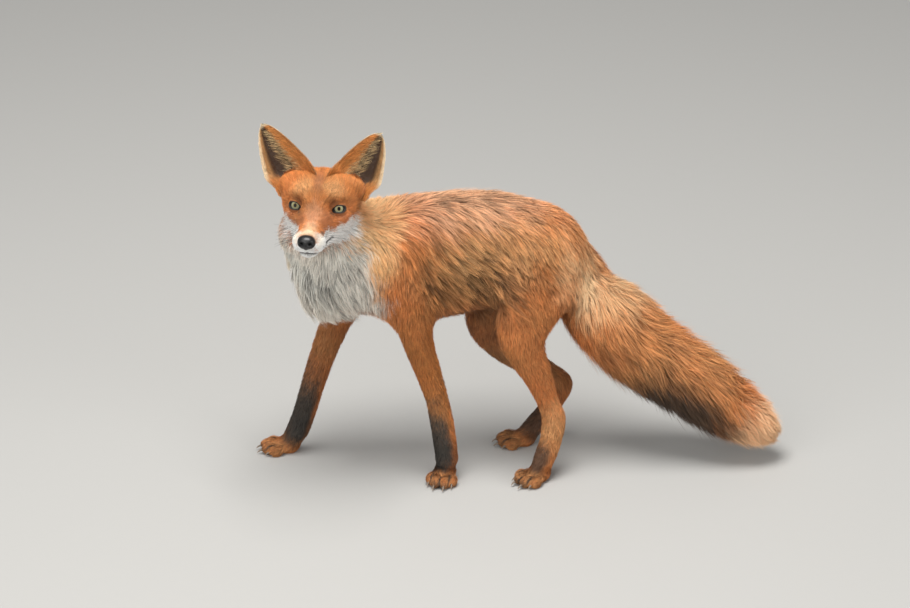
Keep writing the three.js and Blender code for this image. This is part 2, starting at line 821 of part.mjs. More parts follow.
// The legs below the trunk: each is cut free across the elbow or the knee, then at its lower joints.
const LEGS = [
  {
    column: [[[-150, 0, 0], [-1, 0, 0]], [[20, 0, 0], [1, 0, 0]], [[0, -60, 0], [0, 1, 0]]],
    joints: [
      ["foreleg_left_lower", [[-70, -88, 202], [0.1, 0, 1]]],
      ["forepaw_left", [[-34, -96, 25], [0, 0, 1]]],
    ],
  },
  {
    column: [[[-100, 0, 0], [1, 0, 0]], [[0, -58, 0], [0, -1, 0]]],
    joints: [
      ["foreleg_right_lower", [[-152, 3, 190], [-0.35, 0, 1]]],
      ["forepaw_right", [[-208, 20, 25], [0, 0, 1]]],
    ],
  },
  {
    column: [[[20, 0, 0], [-1, 0, 0]], [[150, 0, 0], [1, 0, 0]], [[0, -68, 0], [0, 1, 0]]],
    joints: [
      ["hindleg_left_shank", [[68, -108, 168], [0.2, 0, 1]]],
      ["hindleg_left_foot", [[106, -112, 88], [-0.4, 0, 1]]],
      ["hindpaw_left", [[88, -120, 26], [0, 0, 1]]],
    ],
  },
  {
    column: [[[10, 0, 0], [-1, 0, 0]], [[158, 0, 0], [1, 0, 0]], [[0, -66, 0], [0, -1, 0]]],
    joints: [
      ["hindleg_right_shank", [[48, -12, 160], [0.25, 0, 1]]],
      ["hindleg_right_foot", [[132, -7, 84], [-0.9, 0, 1]]],
      ["hindpaw_right", [[104, -14, 26], [0, 0, 1]]],
    ],
  },
];
for (const { column, joints } of LEGS) {
  const names = joints.map(([name]) => name);
  const planes = joints.map(([, plane]) => plane);
  let leg;
  [leg, rest] = part(rest, ...column, planes[0]);
  for (let i = 1; i < planes.length; i++) [leg, pieces[names[i - 1]]] = part(leg, planes[i]);
  pieces[names.at(-1)] = leg;
}

// The head, the neck and the tail, then the shoulders and thighs, which lie against the flank.
const inWorld = ([at, out]) => [
  new THREE.Vector3(...at).applyMatrix4(headMatrix).toArray(),
  new THREE.Vector3(...out).transformDirection(headMatrix).toArray(),
];
const MEMBERS = {
  tail_tip: [[[332, -112, 76], [-0.76, 0.25, 0.6]]],
  tail_brush: [[[228, -82, 155], [-0.77, 0.2, 0.6]]],
  tail_base: [
    [[148, -62, 240], [-0.72, 0.1, 0.68]],
    [[122, 0, 170], [-1, 0, -0.1]],
  ],
  foreleg_left_upper: [
    [[0, -62, 205], [0, 0.91, 0.41]],
    [[-138, 0, 250], [-1, 0, 0.2]],
    [[-26, 0, 250], [1, 0, 0.1]],
  ],
  foreleg_right_upper: [
    [[0, -30, 205], [0, -0.93, 0.37]],
    [[-104, 0, 205], [1, 0, -0.35]],
  ],
  hindleg_left_thigh: [
    [[0, -76, 190], [0, 0.963, 0.27]],
    [[12, 0, 250], [-1, 0, 0]],
  ],
  hindleg_right_thigh: [
    [[0, -48, 185], [0, -0.957, 0.29]],
    [[6, 0, 250], [-1, 0, 0]],
  ],
  head: [inWorld([[0, 10, -55], [0, 0.846, -0.534]])],
  neck: [[[-105, -45, 300], [0.977, 0, -0.213]]],
};
for (const [name, planes] of Object.entries(MEMBERS)) [pieces[name], rest] = part(rest, ...planes);
pieces.trunk = rest;

for (const name of Object.keys(pieces)) {
  const kind = Object.keys(MEMBER_FACES).find((key) => name.includes(key));
  pieces[name] = solid(thin(meshFrom(pieces[name]), MEMBER_FACES[kind]));
}

// ---------------------------------------------------------------------------------------------------
// Eyes, nose, ears and claws

const ball = (across, up) => meshOf(new THREE.SphereGeometry(1, across, up));
const place = (at, half) =>
  new THREE.Matrix4().makeTranslation(...at).scale(new THREE.Vector3(...half));
const onHead = (mesh, matrix) => solid(moved(mesh, headMatrix.clone().multiply(matrix)));
const grown = (half, by) => half.map((value) => value + by);

for (const [name, side] of [["eye_left", 1], ["eye_right", -1]]) {
  const at = [side * EYE.x, EYE.y, EYE.z];
  const half = [EYE.radius, EYE.radius, EYE.radius];
  pieces[name] = onHead(ball(12, 9), place(at, half));
  pieces.head = pieces.head.subtract(onHead(ball(12, 9), place(at, grown(half, GAP))));
}

pieces.head = pieces.head.subtract(onHead(ball(12, 9), place(NOSE.at, grown(NOSE.half, GAP))));
pieces.nose = onHead(ball(12, 9), place(NOSE.at, NOSE.half));
for (const side of [1, -1]) {
  const at = [side * NOSTRIL.x, NOSTRIL.y, NOSTRIL.z];
  pieces.nose = pieces.nose.subtract(onHead(ball(6, 4), place(at, NOSTRIL.half)));
}

// An ear stands on the head and ends a gap above its surface, so the head is taken off it twice,
// the second time moved towards the ear's tip.
for (const [name, ear] of Object.entries(EARS)) {
  const lift = new THREE.Vector3(...ear.tip).sub(new THREE.Vector3(...ear.root));
  lift.transformDirection(headMatrix).setLength(2 * GAP);
  const lifted = solid(moved(meshFrom(pieces.head), new THREE.Matrix4().setPosition(lift)));
  const leaf = onHead(earSurface(ear), new THREE.Matrix4());
  pieces[name] = leaf.subtract(pieces.head).subtract(lifted);
}

// A claw: a bent horn from inside the toe to its point, in the paw's frame.
function claw(root, heading) {
  const turn = THREE.MathUtils.degToRad(heading);
  const curve = new THREE.QuadraticBezierCurve3(
    new THREE.Vector3(-CLAW.root, 0, -0.5),
    new THREE.Vector3(CLAW.length / 2, 0, CLAW.arch),
    new THREE.Vector3(CLAW.length, 0, -CLAW.drop),
  );
  const points = [];
  const faces = [];
  const rings = 4;
  const sides = 5;
  for (let j = 0; j < rings; j++) {
    const t = j / (rings - 1);
    const at = curve.getPoint(t);
    const along = curve.getTangent(t);
    const radius = CLAW.radius * mix(1, CLAW.point, t * t);
    for (let i = 0; i < sides; i++) {
      const angle = (2 * Math.PI * i) / sides;
      const side = radius * CLAW.flat * Math.cos(angle);
      const up = radius * Math.sin(angle);
      points.push(at.x - up * along.z, side, at.z + up * along.x);
    }
  }
  for (let j = 0; j < rings - 1; j++)
    for (let i = 0; i < sides; i++) {
      const a = j * sides + i;
      const b = j * sides + ((i + 1) % sides);
      faces.push(a, b, b + sides, a, b + sides, a + sides);
    }
  for (let i = 1; i < sides - 1; i++) {
    faces.push(0, i + 1, i);
    const end = (rings - 1) * sides;
    faces.push(end, end + i, end + i + 1);
  }
  const matrix = new THREE.Matrix4().makeRotationZ(turn).setPosition(...root);
  return moved({ points, faces }, matrix);
}

for (const [name, paw] of Object.entries(PAWS)) {
  for (const toe of TOES) {
    const horn = claw([toe.at[0] + toe.half[0] - 3, toe.at[1], CLAW.height], toe.turn);
    pieces[name] = pieces[name].add(solid(moved(horn, pawMatrix(paw))));
  }
  pieces[name] = pieces[name].subtract(behind([[0, 0, 0], [0, 0, 1]])); // a flat sole on the floor
}

// ---------------------------------------------------------------------------------------------------
// The named members, moved so that the origin is under the middle of their box

const RUFOUS = { color: 0xb5652e, roughness: 0.9 };
const LOOKS = {
  eye: { color: 0x8f8660, roughness: 0.08 },
  nose: { color: 0x15120f, roughness: 0.35 },
  ear: { color: 0x6b3d22, roughness: 0.9 },
  neck: { color: 0xc9b8a2, roughness: 0.95 },
  tail_brush: { color: 0xa86c3a, roughness: 0.95 },
  tail_tip: { color: 0xd9bd92, roughness: 0.95 },
  forepaw: { color: 0x5e3a22, roughness: 0.9 },
  hindpaw: { color: 0x6e452a, roughness: 0.9 },
};

const model = new THREE.Group();
model.name = "red_fox";
const extent = new THREE.Box3();
for (const [name, piece] of Object.entries(pieces)) {
  const { points, faces } = meshFrom(piece);
  const geometry = new THREE.BufferGeometry();
  geometry.setAttribute("position", new THREE.Float32BufferAttribute(points, 3));
  geometry.setIndex(faces);
  geometry.computeVertexNormals();
  geometry.computeBoundingBox();
  extent.union(geometry.boundingBox);
  const look = Object.keys(LOOKS).find((key) => name.startsWith(key));
  const material = new THREE.MeshStandardMaterial({ metalness: 0, ...(LOOKS[look] ?? RUFOUS) });
  const mesh = new THREE.Mesh(geometry, material);
  mesh.name = name;
  model.add(mesh);
}
const middle = extent.getCenter(new THREE.Vector3());
for (const mesh of model.children) mesh.geometry.translate(-middle.x, -middle.y, -extent.min.z);

export default model;
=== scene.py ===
# %% [markdown]
# # A red fox with its coat on
# The solids say where the tips of the fox's hair are. Under them lies a skin, and between the two is
# the coat. This script makes the skin from the solids, models the face on it, and then grows the coat
# as some three hundred thousand thin blades that follow the lie of the hair. One set of markings, with
# some painted shade among them, colours the skin and the hair alike, so a gap between two locks never
# shows a wrong colour.

import math

import bmesh
import bpy
import numpy as np
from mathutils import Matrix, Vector, kdtree
from mathutils.bvhtree import BVHTree


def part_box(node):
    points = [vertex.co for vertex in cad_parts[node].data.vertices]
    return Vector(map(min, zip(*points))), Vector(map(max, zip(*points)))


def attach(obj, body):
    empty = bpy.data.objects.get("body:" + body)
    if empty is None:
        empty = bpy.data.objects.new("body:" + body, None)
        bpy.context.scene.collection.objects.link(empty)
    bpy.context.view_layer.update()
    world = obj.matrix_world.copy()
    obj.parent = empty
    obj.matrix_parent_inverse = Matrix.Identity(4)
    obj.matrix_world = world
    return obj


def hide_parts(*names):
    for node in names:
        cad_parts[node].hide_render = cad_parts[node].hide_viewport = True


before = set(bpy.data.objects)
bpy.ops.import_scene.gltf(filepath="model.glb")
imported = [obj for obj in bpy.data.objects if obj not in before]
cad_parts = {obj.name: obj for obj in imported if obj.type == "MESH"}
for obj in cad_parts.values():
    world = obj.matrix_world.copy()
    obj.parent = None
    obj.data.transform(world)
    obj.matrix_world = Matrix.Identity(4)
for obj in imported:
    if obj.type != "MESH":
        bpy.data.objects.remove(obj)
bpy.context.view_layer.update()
SEED = 11
rng = np.random.default_rng(SEED)
print(len(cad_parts), "solids")

# %% [markdown]
# ## Small tools
# A body of flesh and hair has no straight edge to start from, so nearly everything here is worked out
# on arrays of points: in millimetres, one row each, and turned to metres only when a mesh is made. A
# few short helpers keep the later steps readable.

# %% Vectors, steps and soft noise
MM = 0.001
UP = np.array([0.0, 0.0, 1.0])


def unit(v):
    return v / np.maximum(np.linalg.norm(v, axis=-1, keepdims=True), 1e-9)


def step(x, low, high):
    """0 below low, 1 above high, and smooth between."""
    t = np.clip((x - low) / (high - low), 0, 1)
    return t * t * (3 - 2 * t)


def mix(a, b, t):
    return a + (b - a) * t


def dot(a, b):
    return (a * b).sum(-1)


def soft_noise(p, size, seed, waves=9):
    """A smooth random value of about -1 to 1 at each point, that changes over about size mm."""
    pick = np.random.default_rng(seed)
    k = unit(pick.normal(size=(waves, 3))) * pick.uniform(0.6, 1.7, (waves, 1)) * math.pi / size
    return np.sin(p @ k.T + pick.uniform(0, 2 * math.pi, waves)).sum(1) / math.sqrt(waves)


def centre(node):
    low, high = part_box(node)
    return np.array((low + high) / 2) / MM


print("the nose is at", centre("nose").round(1), "mm")


# %% [markdown]
# ## Where the head is
# The head is turned to the fox's left and tilted a little. Its features could be placed one by one in
# the body's directions, but the two sides of a face match, and that is only easy to keep in a frame of
# the head's own: the origin midway between the eyes, X to the fox's left, the nose towards -Y. The two
# eyeballs and the nose give that frame without measuring anything else.

# %% The head's own frame
NOSE_BEHIND = math.atan2(20.5, 82.5)  # how far the nose lies below the line straight ahead
EYE = np.array([25.5, 3.5, 0.0])
EYE_RADIUS = 9.0
NOSE = np.array([0.0, -79.0, -20.5])
NOSE_HALF = np.array([11.4, 9.0, 9.0])

between = (centre("eye_left") + centre("eye_right")) / 2
left = unit(centre("eye_left") - centre("eye_right"))
ahead = centre("nose") - between
ahead = unit(ahead - left * dot(ahead, left))
back = -math.cos(NOSE_BEHIND) * ahead + math.sin(NOSE_BEHIND) * np.cross(left, ahead)
HEAD_AXES = np.stack([left, back, np.cross(left, back)])
HEAD_AT = between - EYE[1] * back


def to_head(p):
    return (p - HEAD_AT) @ HEAD_AXES.T


def from_head(p):
    return np.asarray(p, float) @ HEAD_AXES + HEAD_AT


def turn_from_head(v):
    return np.asarray(v, float) @ HEAD_AXES


print("the head is at", HEAD_AT.round(1), "mm")

# %% [markdown]
# ## The lie of the coat
# On a real fox the hair points away from the nose, back over the body and down the limbs. It could be
# combed by hand over the whole skin. Here each line below runs along the middle of one member in that
# direction, and each of its stations says how deep the coat is there and how long its hair, since a
# few dozen stations are easier to correct than a combed skin. A line also has its blades' width, how
# strongly they gather in locks, how many layers they lie in, and how far their weight pulls them down.
# The stations use the solids' numbers from before their box was centred, so SHIFT moves them.

# %% Lines through the body
SHIFT = np.array([-73.57, 78.29, 0.0])
LINES = {
    # name: (width, locks, layers, droop), then x, y, z, depth, length
    "trunk": ((0.72, 0.72, 9.5, 0.5), [
        [-150, -50, 318, 20, 42], [-110, -47, 300, 19, 42], [-60, -48, 292, 17, 42],
        [0, -54, 298, 16, 40], [50, -58, 298, 15, 38], [90, -60, 290, 14, 32], [125, -60, 272, 14, 30]]),
    "neck": ((0.72, 0.6, 10, 0.8), [
        [-186, -88, 372, 15, 26], [-164, -66, 352, 20, 36], [-134, -52, 326, 21, 38]]),
    "breast": ((0.75, 0.62, 9.5, 0.5), [
        [-214, -112, 352, 15, 30], [-220, -94, 318, 20, 42], [-208, -78, 282, 22, 46],
        [-184, -66, 246, 20, 40]]),
    "tail": ((0.75, 0.5, 9.5, 0.12), [
        [132, -60, 254, 18, 32], [156, -66, 215, 24, 42], [191, -74, 181, 28, 46],
        [233, -84, 151, 30, 46], [281, -95, 116, 30, 46], [314, -106, 89, 29, 44],
        [344, -116, 67, 26, 40], [376, -127, 47, 19, 32]]),
    "foreleg_left": ((0.66, 0.2, 3.1, 0.2), [
        [-90, -78, 285, 8, 15], [-83, -84, 250, 7, 13], [-72, -88, 220, 5.5, 11], [-64, -89, 186, 4.5, 10],
        [-53, -90, 150, 4, 9], [-43, -91, 115, 3.5, 8], [-35, -92, 70, 3.2, 8], [-30, -94, 30, 3, 7]]),
    "foreleg_right": ((0.66, 0.2, 3.1, 0.2), [
        [-118, -12, 285, 8, 15], [-130, -2, 246, 7, 13], [-152, 5, 192, 5, 11], [-166, 9, 154, 4, 9],
        [-181, 13, 106, 3.5, 8], [-194, 17, 58, 3.2, 8], [-204, 20, 28, 3, 7]]),
    "hindleg_left": ((0.7, 0.2, 3.1, 0.2), [
        [94, -86, 290, 9, 17], [78, -98, 244, 7.5, 14], [64, -106, 200, 6, 12], [70, -108, 172, 5, 10],
        [82, -109, 146, 4, 9], [97, -110, 104, 3.4, 8], [104, -112, 82, 3.2, 8], [101, -115, 56, 3, 7],
        [91, -119, 28, 3, 7]]),
    "hindleg_right": ((0.7, 0.2, 3.1, 0.2), [
        [90, -36, 290, 9, 17], [60, -26, 232, 7.5, 14], [42, -14, 180, 6, 12], [58, -10, 148, 5, 10],
        [86, -7, 120, 4, 9], [118, -6, 96, 3.4, 8], [140, -7, 76, 3.2, 8], [128, -9, 52, 3, 7],
        [106, -14, 28, 3, 7]]),
}
PAWS = {
    # the middle of the sole and the way the toes point, in degrees
    "foreleg_left": ([-36, -99], 245),
    "foreleg_right": ([-222, 27], 176),
    "hindleg_left": ([77, -124], 208),
    "hindleg_right": ([80, -18], 176),
}
BESIDE = [
    # places on the left of the body, mirrored to its right, where the coat changes: the short fur of
    # the shoulder, and the long fringe of the flank that hangs over the thigh and the belly
    # x, y, z, then the lie, then depth, length, width, locks, layers, droop
    [-92, -116, 292, 0.2, 0, -1, 9, 15, 0.75, 0.3, 5.5, 0.2],
    [-80, -116, 262, 0.2, 0, -1, 8, 13, 0.7, 0.25, 4.5, 0.2],
    [-126, -102, 258, 0.35, 0, -1, 13, 36, 0.66, 0.75, 9.5, 0.3],
    [-40, -112, 300, 0.85, 0, -0.5, 17, 50, 0.56, 0.68, 10, 0.15],
    [-40, -114, 268, 0.8, 0, -0.6, 16, 50, 0.56, 0.72, 10, 0.15],
    [0, -114, 262, 0.85, 0, -0.5, 16, 52, 0.56, 0.72, 10, 0.1],
    [18, -112, 290, 0.85, 0, -0.45, 16, 52, 0.56, 0.72, 10, 0.1],
    [30, -108, 254, 0.8, 0, -0.55, 14, 46, 0.56, 0.72, 9.5, 0.1],
    [10, -90, 236, 0.85, 0, -0.5, 12, 34, 0.7, 0.65, 8, 0.2],
    [76, -114, 264, 0.6, 0, -1, 8, 15, 0.72, 0.3, 5, 0.2],
    [66, -112, 236, 0.3, 0, -1, 7, 13, 0.7, 0.25, 4, 0.2],
    [98, -110, 286, 0.7, 0, -0.8, 9, 18, 0.75, 0.35, 6, 0.2],
]
MIDDLE_Y = -55  # of the body between the hips and the shoulders
PAW_LIE = ((0.6, 0.3, 3.0, 0.3), [[-10, 0, 18, 2.8, 7], [4, 0, 13, 2.4, 6.5], [18, 0, 9, 2.2, 7]])

# %% [markdown]
# The face needs more than a line: its hair fans out from the nose over the forehead and cheeks. Its
# stations lie on the surface, each with a direction of its own, and are mirrored to the other side.

# %% Places on the face
FACE_WIDTH, FACE_LOCKS, FACE_LAYERS, FACE_DROOP = 0.42, 0.22, 3.6, 0.0
FACE = [
    # x, y, z, then the lie, then depth and length, in the head's frame
    [0, -66, -10, 0, 1, 0.2, 1.2, 2.6],
    [0, -48, -5, 0, 1, 0.3, 1.6, 3.6],
    [0, -26, 4, 0, 1, 0.5, 2.0, 4.8],
    [0, -8, 24, 0, 1, 0.8, 3.0, 6.5],
    [0, 16, 40, 0, 1, 0.3, 4.0, 8],
    [0, 44, 42, 0, 1, -0.2, 6.0, 12],
    [0, 66, 26, 0, 1, -0.6, 10, 20],
    [14, -64, -22, 0.2, 1, -0.25, 1.4, 3.6],
    [16, -44, -16, 0.2, 1, -0.1, 1.8, 4.4],
    [10, -58, -35, 0.15, 1, -0.4, 1.5, 4.4],
    [0, -58, -45, 0, 1, -0.5, 2.0, 6],
    [12, -34, -45, 0.15, 1, -0.6, 3.0, 8],
    [21, -28, -22, 0.35, 1, -0.3, 2.2, 6],
    [12, -8, 18, 0.35, 1, 0.7, 2.8, 6],
    [24, -4, 15, 0.5, 0.9, 0.7, 2.4, 5],
    [34, -6, -14, 0.6, 1, -0.35, 3.0, 7],
    [40, 4, 2, 0.6, 1, -0.1, 3.5, 8],
    [42, 4, -24, 0.55, 1, -0.5, 5, 12],
    [32, -6, -38, 0.4, 1, -0.7, 4.5, 12],
    [52, 24, -14, 0.6, 1, -0.6, 8, 20],
    [46, 26, -34, 0.5, 0.9, -0.9, 9, 24],
    [20, 8, -52, 0.2, 0.8, -1, 8, 22],
    [0, 20, -58, 0, 0.6, -1, 11, 28],
    [26, 20, 36, 0.5, 0.8, 0.8, 3.2, 7],
    [44, 34, 34, 0.6, 0.7, 0.8, 3.2, 7],
    [56, 34, 12, 0.5, 1, -0.3, 5, 12],
    [36, 58, 14, 0.4, 1, -0.5, 8, 18],
]
print(len(FACE), "places on the face")

# %% [markdown]
# ## The coat between the stations
# The coat changes gradually over a fox, so at any point its nature is a mean of the stations around
# it, the nearest counting most. The near ones win quickly, because a leg's short fur must not be
# drawn out by the long hair of the belly beside it.

# %% All stations, and reading between them
def all_stations():
    """Every station as one row: place, lie, depth, length, width, locks, layers, droop; and its line."""
    rows, names = [], []

    def add(name, points, nature):
        points = np.array(points, float)
        lie = unit(np.gradient(points[:, :3], axis=0))
        for p, d in zip(points, lie):
            rows.append([*p[:3], *d, *p[3:5], *nature])
            names.append(name)

    for name, (nature, points) in LINES.items():
        points = np.array(points, float)
        points[:, :3] += SHIFT
        add(name, points, nature)
    for name in PAWS:
        nature, points = PAW_LIE
        points = np.array(points, float)
        points[:, :3] = paw_place(points[:, :3], name)
        add(name, points, nature)
    for x, y, z, dx, dy, dz, *nature in BESIDE:
        for side in (1, -1):
            at = np.array([x, MIDDLE_Y + side * (y - MIDDLE_Y), z]) + SHIFT
            rows.append([*at, *unit(np.array([dx, dy, dz])), *nature])
            names.append("trunk")
    for x, y, z, dx, dy, dz, depth, length in FACE:
        for side in [1] if x == 0 else [1, -1]:
            lie = unit(turn_from_head([side * dx, dy, dz]))
            nature = (FACE_WIDTH + 0.025 * max(length - 8, 0), FACE_LOCKS, FACE_LAYERS, FACE_DROOP)
            rows.append([*from_head([side * x, y, z]), *lie, depth, length, *nature])
            names.append("head")
    return np.array(rows), names


def paw_place(p, leg):
    """Points of a paw's own frame, toes towards +X and the sole at the origin, put in the body's."""
    (x, y), heading = PAWS[leg]
    c, s = math.cos(math.radians(heading)), math.sin(math.radians(heading))
    return np.asarray(p, float) @ np.array([[c, s, 0], [-s, c, 0], [0, 0, 1]]) + SHIFT + [x, y, 0]


STATIONS, STATION_LINE = all_stations()
STATION_PLACES = STATIONS[:, :3]
LINE_NAMES = ["head", *LINES]
STATION_NUMBER = np.array([LINE_NAMES.index(name) for name in STATION_LINE])
REACH = 5.0  # mm within which a station's influence levels off
FALL = 2.2  # how fast it falls beyond that


def read_stations(p):
    """The nature of the coat at each point: a dict of arrays, blended from the stations around it."""
    found = np.zeros((len(p), STATIONS.shape[1] - 3))
    nearest = np.zeros(len(p), int)
    for i in range(0, len(p), 20000):
        d2 = ((p[i:i + 20000, None] - STATION_PLACES[None]) ** 2).sum(-1)
        weight = 1 / (d2 + REACH**2) ** FALL
        found[i:i + 20000] = weight @ STATIONS[:, 3:] / weight.sum(1, keepdims=True)
        nearest[i:i + 20000] = STATION_NUMBER[d2.argmin(1)]
    return {
        "lie": found[:, :3], "depth": found[:, 3], "length": found[:, 4], "width": found[:, 5],
        "locks": found[:, 6], "layers": found[:, 7], "droop": found[:, 8], "line": nearest,
    }


print(len(STATIONS), "stations on", len(LINE_NAMES), "members")

# %% [markdown]
# ## The skin
# A real skin is one piece without a seam. The solids could be joined by booleans, but those would
# leave a crease at every joint, so copies of them are grown until they overlap, and fused on a fine
# grid of voxels. The paws are rebuilt from their pads and toes, because their claws are separate.

# %% Fusing the flesh
VOXEL = 2.6
GROW = 0.7  # mm, more than half the gap between two solids
# middle, half size and turn of each toe and of the pad behind them, in a paw's own frame
TOES = [([17.5, 6.4, 8.2], [12, 6.6, 9], 0), ([17.5, -6.4, 8.2], [12, 6.6, 9], 0),
        ([9, 14.6, 7.8], [11.5, 6.4, 8.6], 10), ([9, -14.6, 7.8], [11.5, 6.4, 8.6], -10)]
PAD = ([-8, 0, 10], [17, 15.5, 12.5], 0)
WRIST = 13.6  # the radius of the balls between the leg and the paw


def add_ball(bm, at, half, turn, place):
    """An ellipsoid turned about the upright by turn degrees, put in the body by the function place."""
    made = bmesh.ops.create_icosphere(bm, subdivisions=3, radius=1)["verts"]
    p = np.array([v.co for v in made]) * half
    c, s = math.cos(math.radians(turn)), math.sin(math.radians(turn))
    p = place(p @ np.array([[c, s, 0], [-s, c, 0], [0, 0, 1]]) + at) * MM
    for v, co in zip(made, p):
        v.co = co


def fused_flesh():
    bm = bmesh.new()
    for name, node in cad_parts.items():
        if name.startswith(("ear", "forepaw", "hindpaw")):
            continue
        one = bmesh.new()
        one.from_mesh(node.data)
        bmesh.ops.remove_doubles(one, verts=one.verts, dist=1e-5)
        one.normal_update()
        for v in one.verts:
            v.co += v.normal * GROW * MM
        copy = bpy.data.meshes.new("copy")
        one.to_mesh(copy)
        one.free()
        bm.from_mesh(copy)
        bpy.data.meshes.remove(copy)
    for leg in PAWS:
        for at, half, turn in [*TOES, PAD]:
            add_ball(bm, at, half, turn, lambda p, leg=leg: paw_place(p, leg))
        end = np.array(LINES[leg][1][-1][:3]) + SHIFT
        pad = paw_place([PAD[0]], leg)[0]
        for t in (0, 0.3, 0.6):
            add_ball(bm, mix(end, pad, t), [WRIST] * 3, 0, lambda p: p)
    mesh = bpy.data.meshes.new("flesh")
    bm.to_mesh(mesh)
    bm.free()
    flesh = bpy.data.objects.new("flesh", mesh)
    bpy.context.scene.collection.objects.link(flesh)
    remesh = flesh.modifiers.new("fuse", "REMESH")
    remesh.mode = "VOXEL"
    remesh.voxel_size = VOXEL * MM
    remesh.adaptivity = 0
    depsgraph = bpy.context.evaluated_depsgraph_get()
    fused = bpy.data.meshes.new_from_object(flesh.evaluated_get(depsgraph))
    bpy.data.objects.remove(flesh)
    bpy.data.meshes.remove(mesh)
    return fused


fused = fused_flesh()
print(len(fused.polygons), "faces in the fused flesh")

# %% [markdown]
# The grid leaves steps. Smoothing moves each point towards the middle of its neighbours, then a
# little back, so that the steps go and the volume stays. A modifier could smooth, but the same arrays
# are needed for the normals and for planting hair, so the surface gets a class of its own.

# %% A surface of points and triangles
def point_normals(points, tris):
    """The direction outwards at each point, from the triangles around it."""
    a, b, c = (points[tris[:, i]] for i in range(3))
    face = np.cross(b - a, c - a)
    n = len(points)
    return unit(np.array([
        sum(np.bincount(tris[:, i], face[:, axis], n) for i in range(3)) for axis in range(3)
    ]).T)


class Surface:
    """Points in mm and the quads or triangles between them."""

    def __init__(self, mesh):
        self.mesh = mesh
        self.points = np.zeros(3 * len(mesh.vertices))
        mesh.vertices.foreach_get("co", self.points)
        self.points = self.points.reshape(-1, 3) / MM
        self.read()

    def read(self):
        edges = np.zeros(2 * len(self.mesh.edges), int)
        self.mesh.edges.foreach_get("vertices", edges)
        self.edges = edges.reshape(-1, 2)
        self.mesh.calc_loop_triangles()
        tris = np.zeros(3 * len(self.mesh.loop_triangles), int)
        self.mesh.loop_triangles.foreach_get("vertices", tris)
        self.tris = tris.reshape(-1, 3)

    def spread(self, values):
        """The mean of each point's neighbours."""
        n = len(self.points)
        a, b = self.edges.T
        count = np.bincount(a, minlength=n) + np.bincount(b, minlength=n)
        total = [np.bincount(a, v[b], n) + np.bincount(b, v[a], n) for v in values.T]
        return (np.array(total) / np.maximum(count, 1)).T

    def relax(self, rounds):
        for _ in range(rounds):
            self.points += 0.5 * (self.spread(self.points) - self.points)
            self.points -= 0.53 * (self.spread(self.points) - self.points)

    def settle(self, rounds):
        """Evens out the spacing of the points without moving the surface."""
        normals = self.normals()
        for _ in range(rounds):
            move = self.spread(self.points) - self.points
            self.points += 0.6 * (move - normals * dot(move, normals)[:, None])

    def normals(self):
        return point_normals(self.points, self.tris)

    def write(self):
        self.mesh.vertices.foreach_set("co", (self.points * MM).ravel())
        self.mesh.update()


# %% [markdown]
# The solids reach to the tips of the hair, so the skin lies deeper by the coat's depth. That is taken
# off in small moves, with the directions worked out again each time, so that thin places such as the
# toes don't fold over. The soles stay on the floor.

# %% Drawn in by the depth of the coat
SMOOTHING = 14
MOVES = 14
SOLE = 1.2  # mm above the floor up to which a point belongs to a sole

skin = Surface(fused)
skin.relax(SMOOTHING)
on_floor = skin.points[:, 2] < SOLE
depth = read_stations(skin.points)["depth"]
for _ in range(MOVES):
    skin.points -= skin.normals() * depth[:, None] / MOVES
    skin.settle(2)
    skin.relax(1)
skin.points[on_floor, 2] = 0.0
skin.points[:, 2] = np.maximum(skin.points[:, 2], 0.0)
skin.write()
print("skin spans", np.ptp(skin.points, axis=0).round(), "mm")

# %% [markdown]
# ## The face in the skin
# Lips, brows and the groove under the nose are only a few millimetres wide, finer than the voxels, so
# the face is divided first and then pushed in and out along its own normals. The mouth runs from
# below the nose back under the cheek, and the same line later keeps the hair off the lips.

# %% Dividing and modelling the face
MOUTH = np.array([  # how far back and how high, in the head's frame
    [-80, -34.5], [-76, -35], [-72, -36.5], [-64, -37], [-52, -36.5], [-38, -34.5], [-25, -32], [-14, -30.5]])
BROW = np.array([22, -6, 12])


def divide(mesh, wanted):
    """Cuts each edge in two where wanted, a function of points in the head's frame, is true."""
    bm = bmesh.new()
    bm.from_mesh(mesh)
    p = to_head(np.array([v.co for v in bm.verts]) / MM)
    chosen = wanted(p)
    edges = [e for e in bm.edges if chosen[e.verts[0].index] and chosen[e.verts[1].index]]
    bmesh.ops.subdivide_edges(bm, edges=edges, cuts=1, use_grid_fill=True)
    bmesh.ops.triangulate(bm, faces=[f for f in bm.faces if len(f.verts) > 4])
    bm.to_mesh(mesh)
    bm.free()


def from_mouth(p):
    """How far each point is above or below the line of the mouth, or behind its corner."""
    height = np.interp(p[:, 1], MOUTH[:, 0], MOUTH[:, 1])
    return np.hypot(p[:, 2] - height, np.maximum(p[:, 1] - MOUTH[-1, 0], 0))


def bump(p, at, size):
    """1 at a place of the head's frame, on both sides, fading to 0 over about size mm."""
    mirrored = np.abs(p[:, 0])[:, None] * [1, 0, 0] + p * [0, 1, 1]
    return np.exp(-((mirrored - at) ** 2).sum(1) / size**2)


# %% [markdown]
# The brow ridge stands out over the eye, the bridge of the nose is pinched between the eyes, the
# pads of the whiskers swell, and the temple falls in towards the ear.

